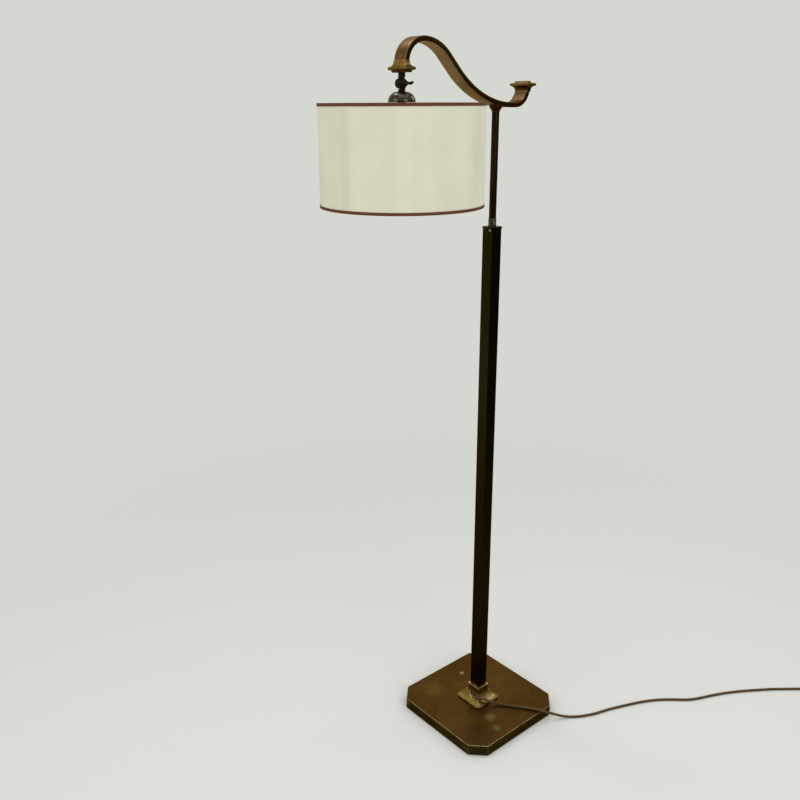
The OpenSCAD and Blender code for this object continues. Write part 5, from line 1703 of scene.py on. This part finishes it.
@dataclass
class Shade:
    """Drum of laminated cloth with a lapped seam, its bindings, and the bulb under it. Millimetres."""

    x: float = LAMP_X
    radius: float = 153.0
    skin: float = 0.8
    foot_z: float = 1257.6
    top_z: float = 1439.6
    lap: Pair = LAP
    lap_t: float = 0.4
    lap_rim: float = 0.5
    bow: float = 0.25
    bow_waves: int = 3
    bow_twist: float = 2.0
    tape_w: float = 5.0
    tape_t: float = 0.5
    tape_sides: int = 240
    tape_edges: tuple[float, ...] = (0.05, 0.3, 0.55, 0.2, 0.2, 0.0)
    tape_laps: float = 0.1
    sides: int = 720
    rows: int = 15
    bulb_r: float = 30.0
    bulb_z: float = 1326.55
    bulb_neck: float = 13.0
    bulb_top: float = 1380.0
    bulb_turn: float = 42.0
    bulb_pull: float = 20.0

    def drum(self) -> bpy.types.Object:
        """Thin cylinder whose outer face steps out over the lap, and bows by a fraction of a millimetre.

        r = radius, less the lap's height outside the lap, plus bow cos(waves a + twist s) sin(pi s), where
        a is the angle and s the share of the way up.

        Returns:
            The drum.
        """
        angle = np.arange(self.sides) * 360 / self.sides
        first, last = self.lap
        over = np.clip((angle - first) / self.lap_rim, 0, 1) * np.clip((last - angle) / self.lap_rim, 0, 1)
        levels = np.linspace(self.foot_z, self.top_z, self.rows)
        share = ((levels - self.foot_z) / (self.top_z - self.foot_z))[:, None]
        turn = np.radians(angle)
        wave = np.cos(self.bow_waves * turn + self.bow_twist * share)
        bow = self.bow * wave * np.sin(math.pi * share)
        outer = self.radius - self.lap_t + self.lap_t * over + bow
        inner = np.broadcast_to(self.radius - self.skin, outer.shape) + bow
        ring = np.concatenate([outer, inner[::-1]])
        rise = np.concatenate([levels, levels[::-1]])
        grid = np.stack([self.x + ring * np.cos(turn), ring * np.sin(turn),
                         np.broadcast_to(rise[:, None], ring.shape)], -1)
        return Skin("shade_drum").add(grid, loop=True).build(
            "head", SHADE_CLOTH, "shade_cloth", ("shade_shell",), sharp=60.0)

    def tape(self, name: str, node: str, edge: float, way: float) -> bpy.types.Object:
        """Binding folded over one edge: a bent strip carried round the drum.

        Args:
            name: the piece's name.
            node: the node that it stands for.
            edge: height of the drum's edge.
            way: 1 at the top, -1 at the foot.

        Returns:
            The binding.
        """
        out, inside, t = self.radius + self.tape_t, self.radius - self.skin, self.tape_t
        under = self.radius - self.tape_laps
        corners = [(under, -self.tape_w), (out, -self.tape_w), (out, t), (inside, t), (inside, 0.0),
                   (under, 0.0)]
        loop = rounded(corners, self.tape_edges, closed=True) * np.array([1.0, way])
        grid = turned(loop, (self.x, 0.0, edge), self.tape_sides)
        return Skin(name).add(grid, loop=True).build("head", BINDING, "binding", (node,))

    def bulb(self) -> None:
        """Opal bulb: a globe that runs up into a neck by a cubic curve, tangent to both."""
        globe = arc((0.0, self.bulb_z), self.bulb_r, -90, self.bulb_turn, steps=40)
        leave = math.radians(self.bulb_turn)
        start, end = globe[-1], np.array([self.bulb_neck, self.bulb_top])
        out = start + self.bulb_pull * np.array([-math.sin(leave), math.cos(leave)])
        into = end - self.bulb_pull * np.array([0.0, 1.0])
        s = np.linspace(0, 1, 14)[1:, None]
        neck = (1 - s) ** 3 * start + 3 * (1 - s) ** 2 * s * out + 3 * (1 - s) * s**2 * into + s**3 * end
        profile = np.concatenate([globe, neck, [(0.0, self.bulb_top)]])
        profile[0, 0] = 0.0
        Skin("bulb_globe").add(turned(profile, (self.x, 0.0, 0.0), sides=72)).build(
            "head", OPAL_GLASS, "opal_glass", ("bulb_glass",), sharp=60.0)

    def build(self) -> None:
        drum = self.drum()
        tapes = [
            self.tape("binding_top", "trim_top", self.top_z, 1.0),
            self.tape("binding_foot", "trim_bottom", self.foot_z, -1.0),
        ]
        self.bulb()


def dress_nodes() -> None:
    """Gives each CAD node that stays in view its finish."""
    for finish, names in NODE_FINISH:
        for name in names:
            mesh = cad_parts[name].data
            mesh.materials.clear()
            mesh.materials.append(finish.material())
            LOG.info("%s: finish %s", name, finish.name)


def main() -> None:
    """Builds the stage and every piece in order."""
    logging.basicConfig(level=logging.INFO, format="%(message)s")
    Studio().build()
    Flex().build()
    Base().build()
    Arm().build()
    Knuckle().build()
    Shade().build()
    dress_nodes()


if __name__ == "__main__":
    main()
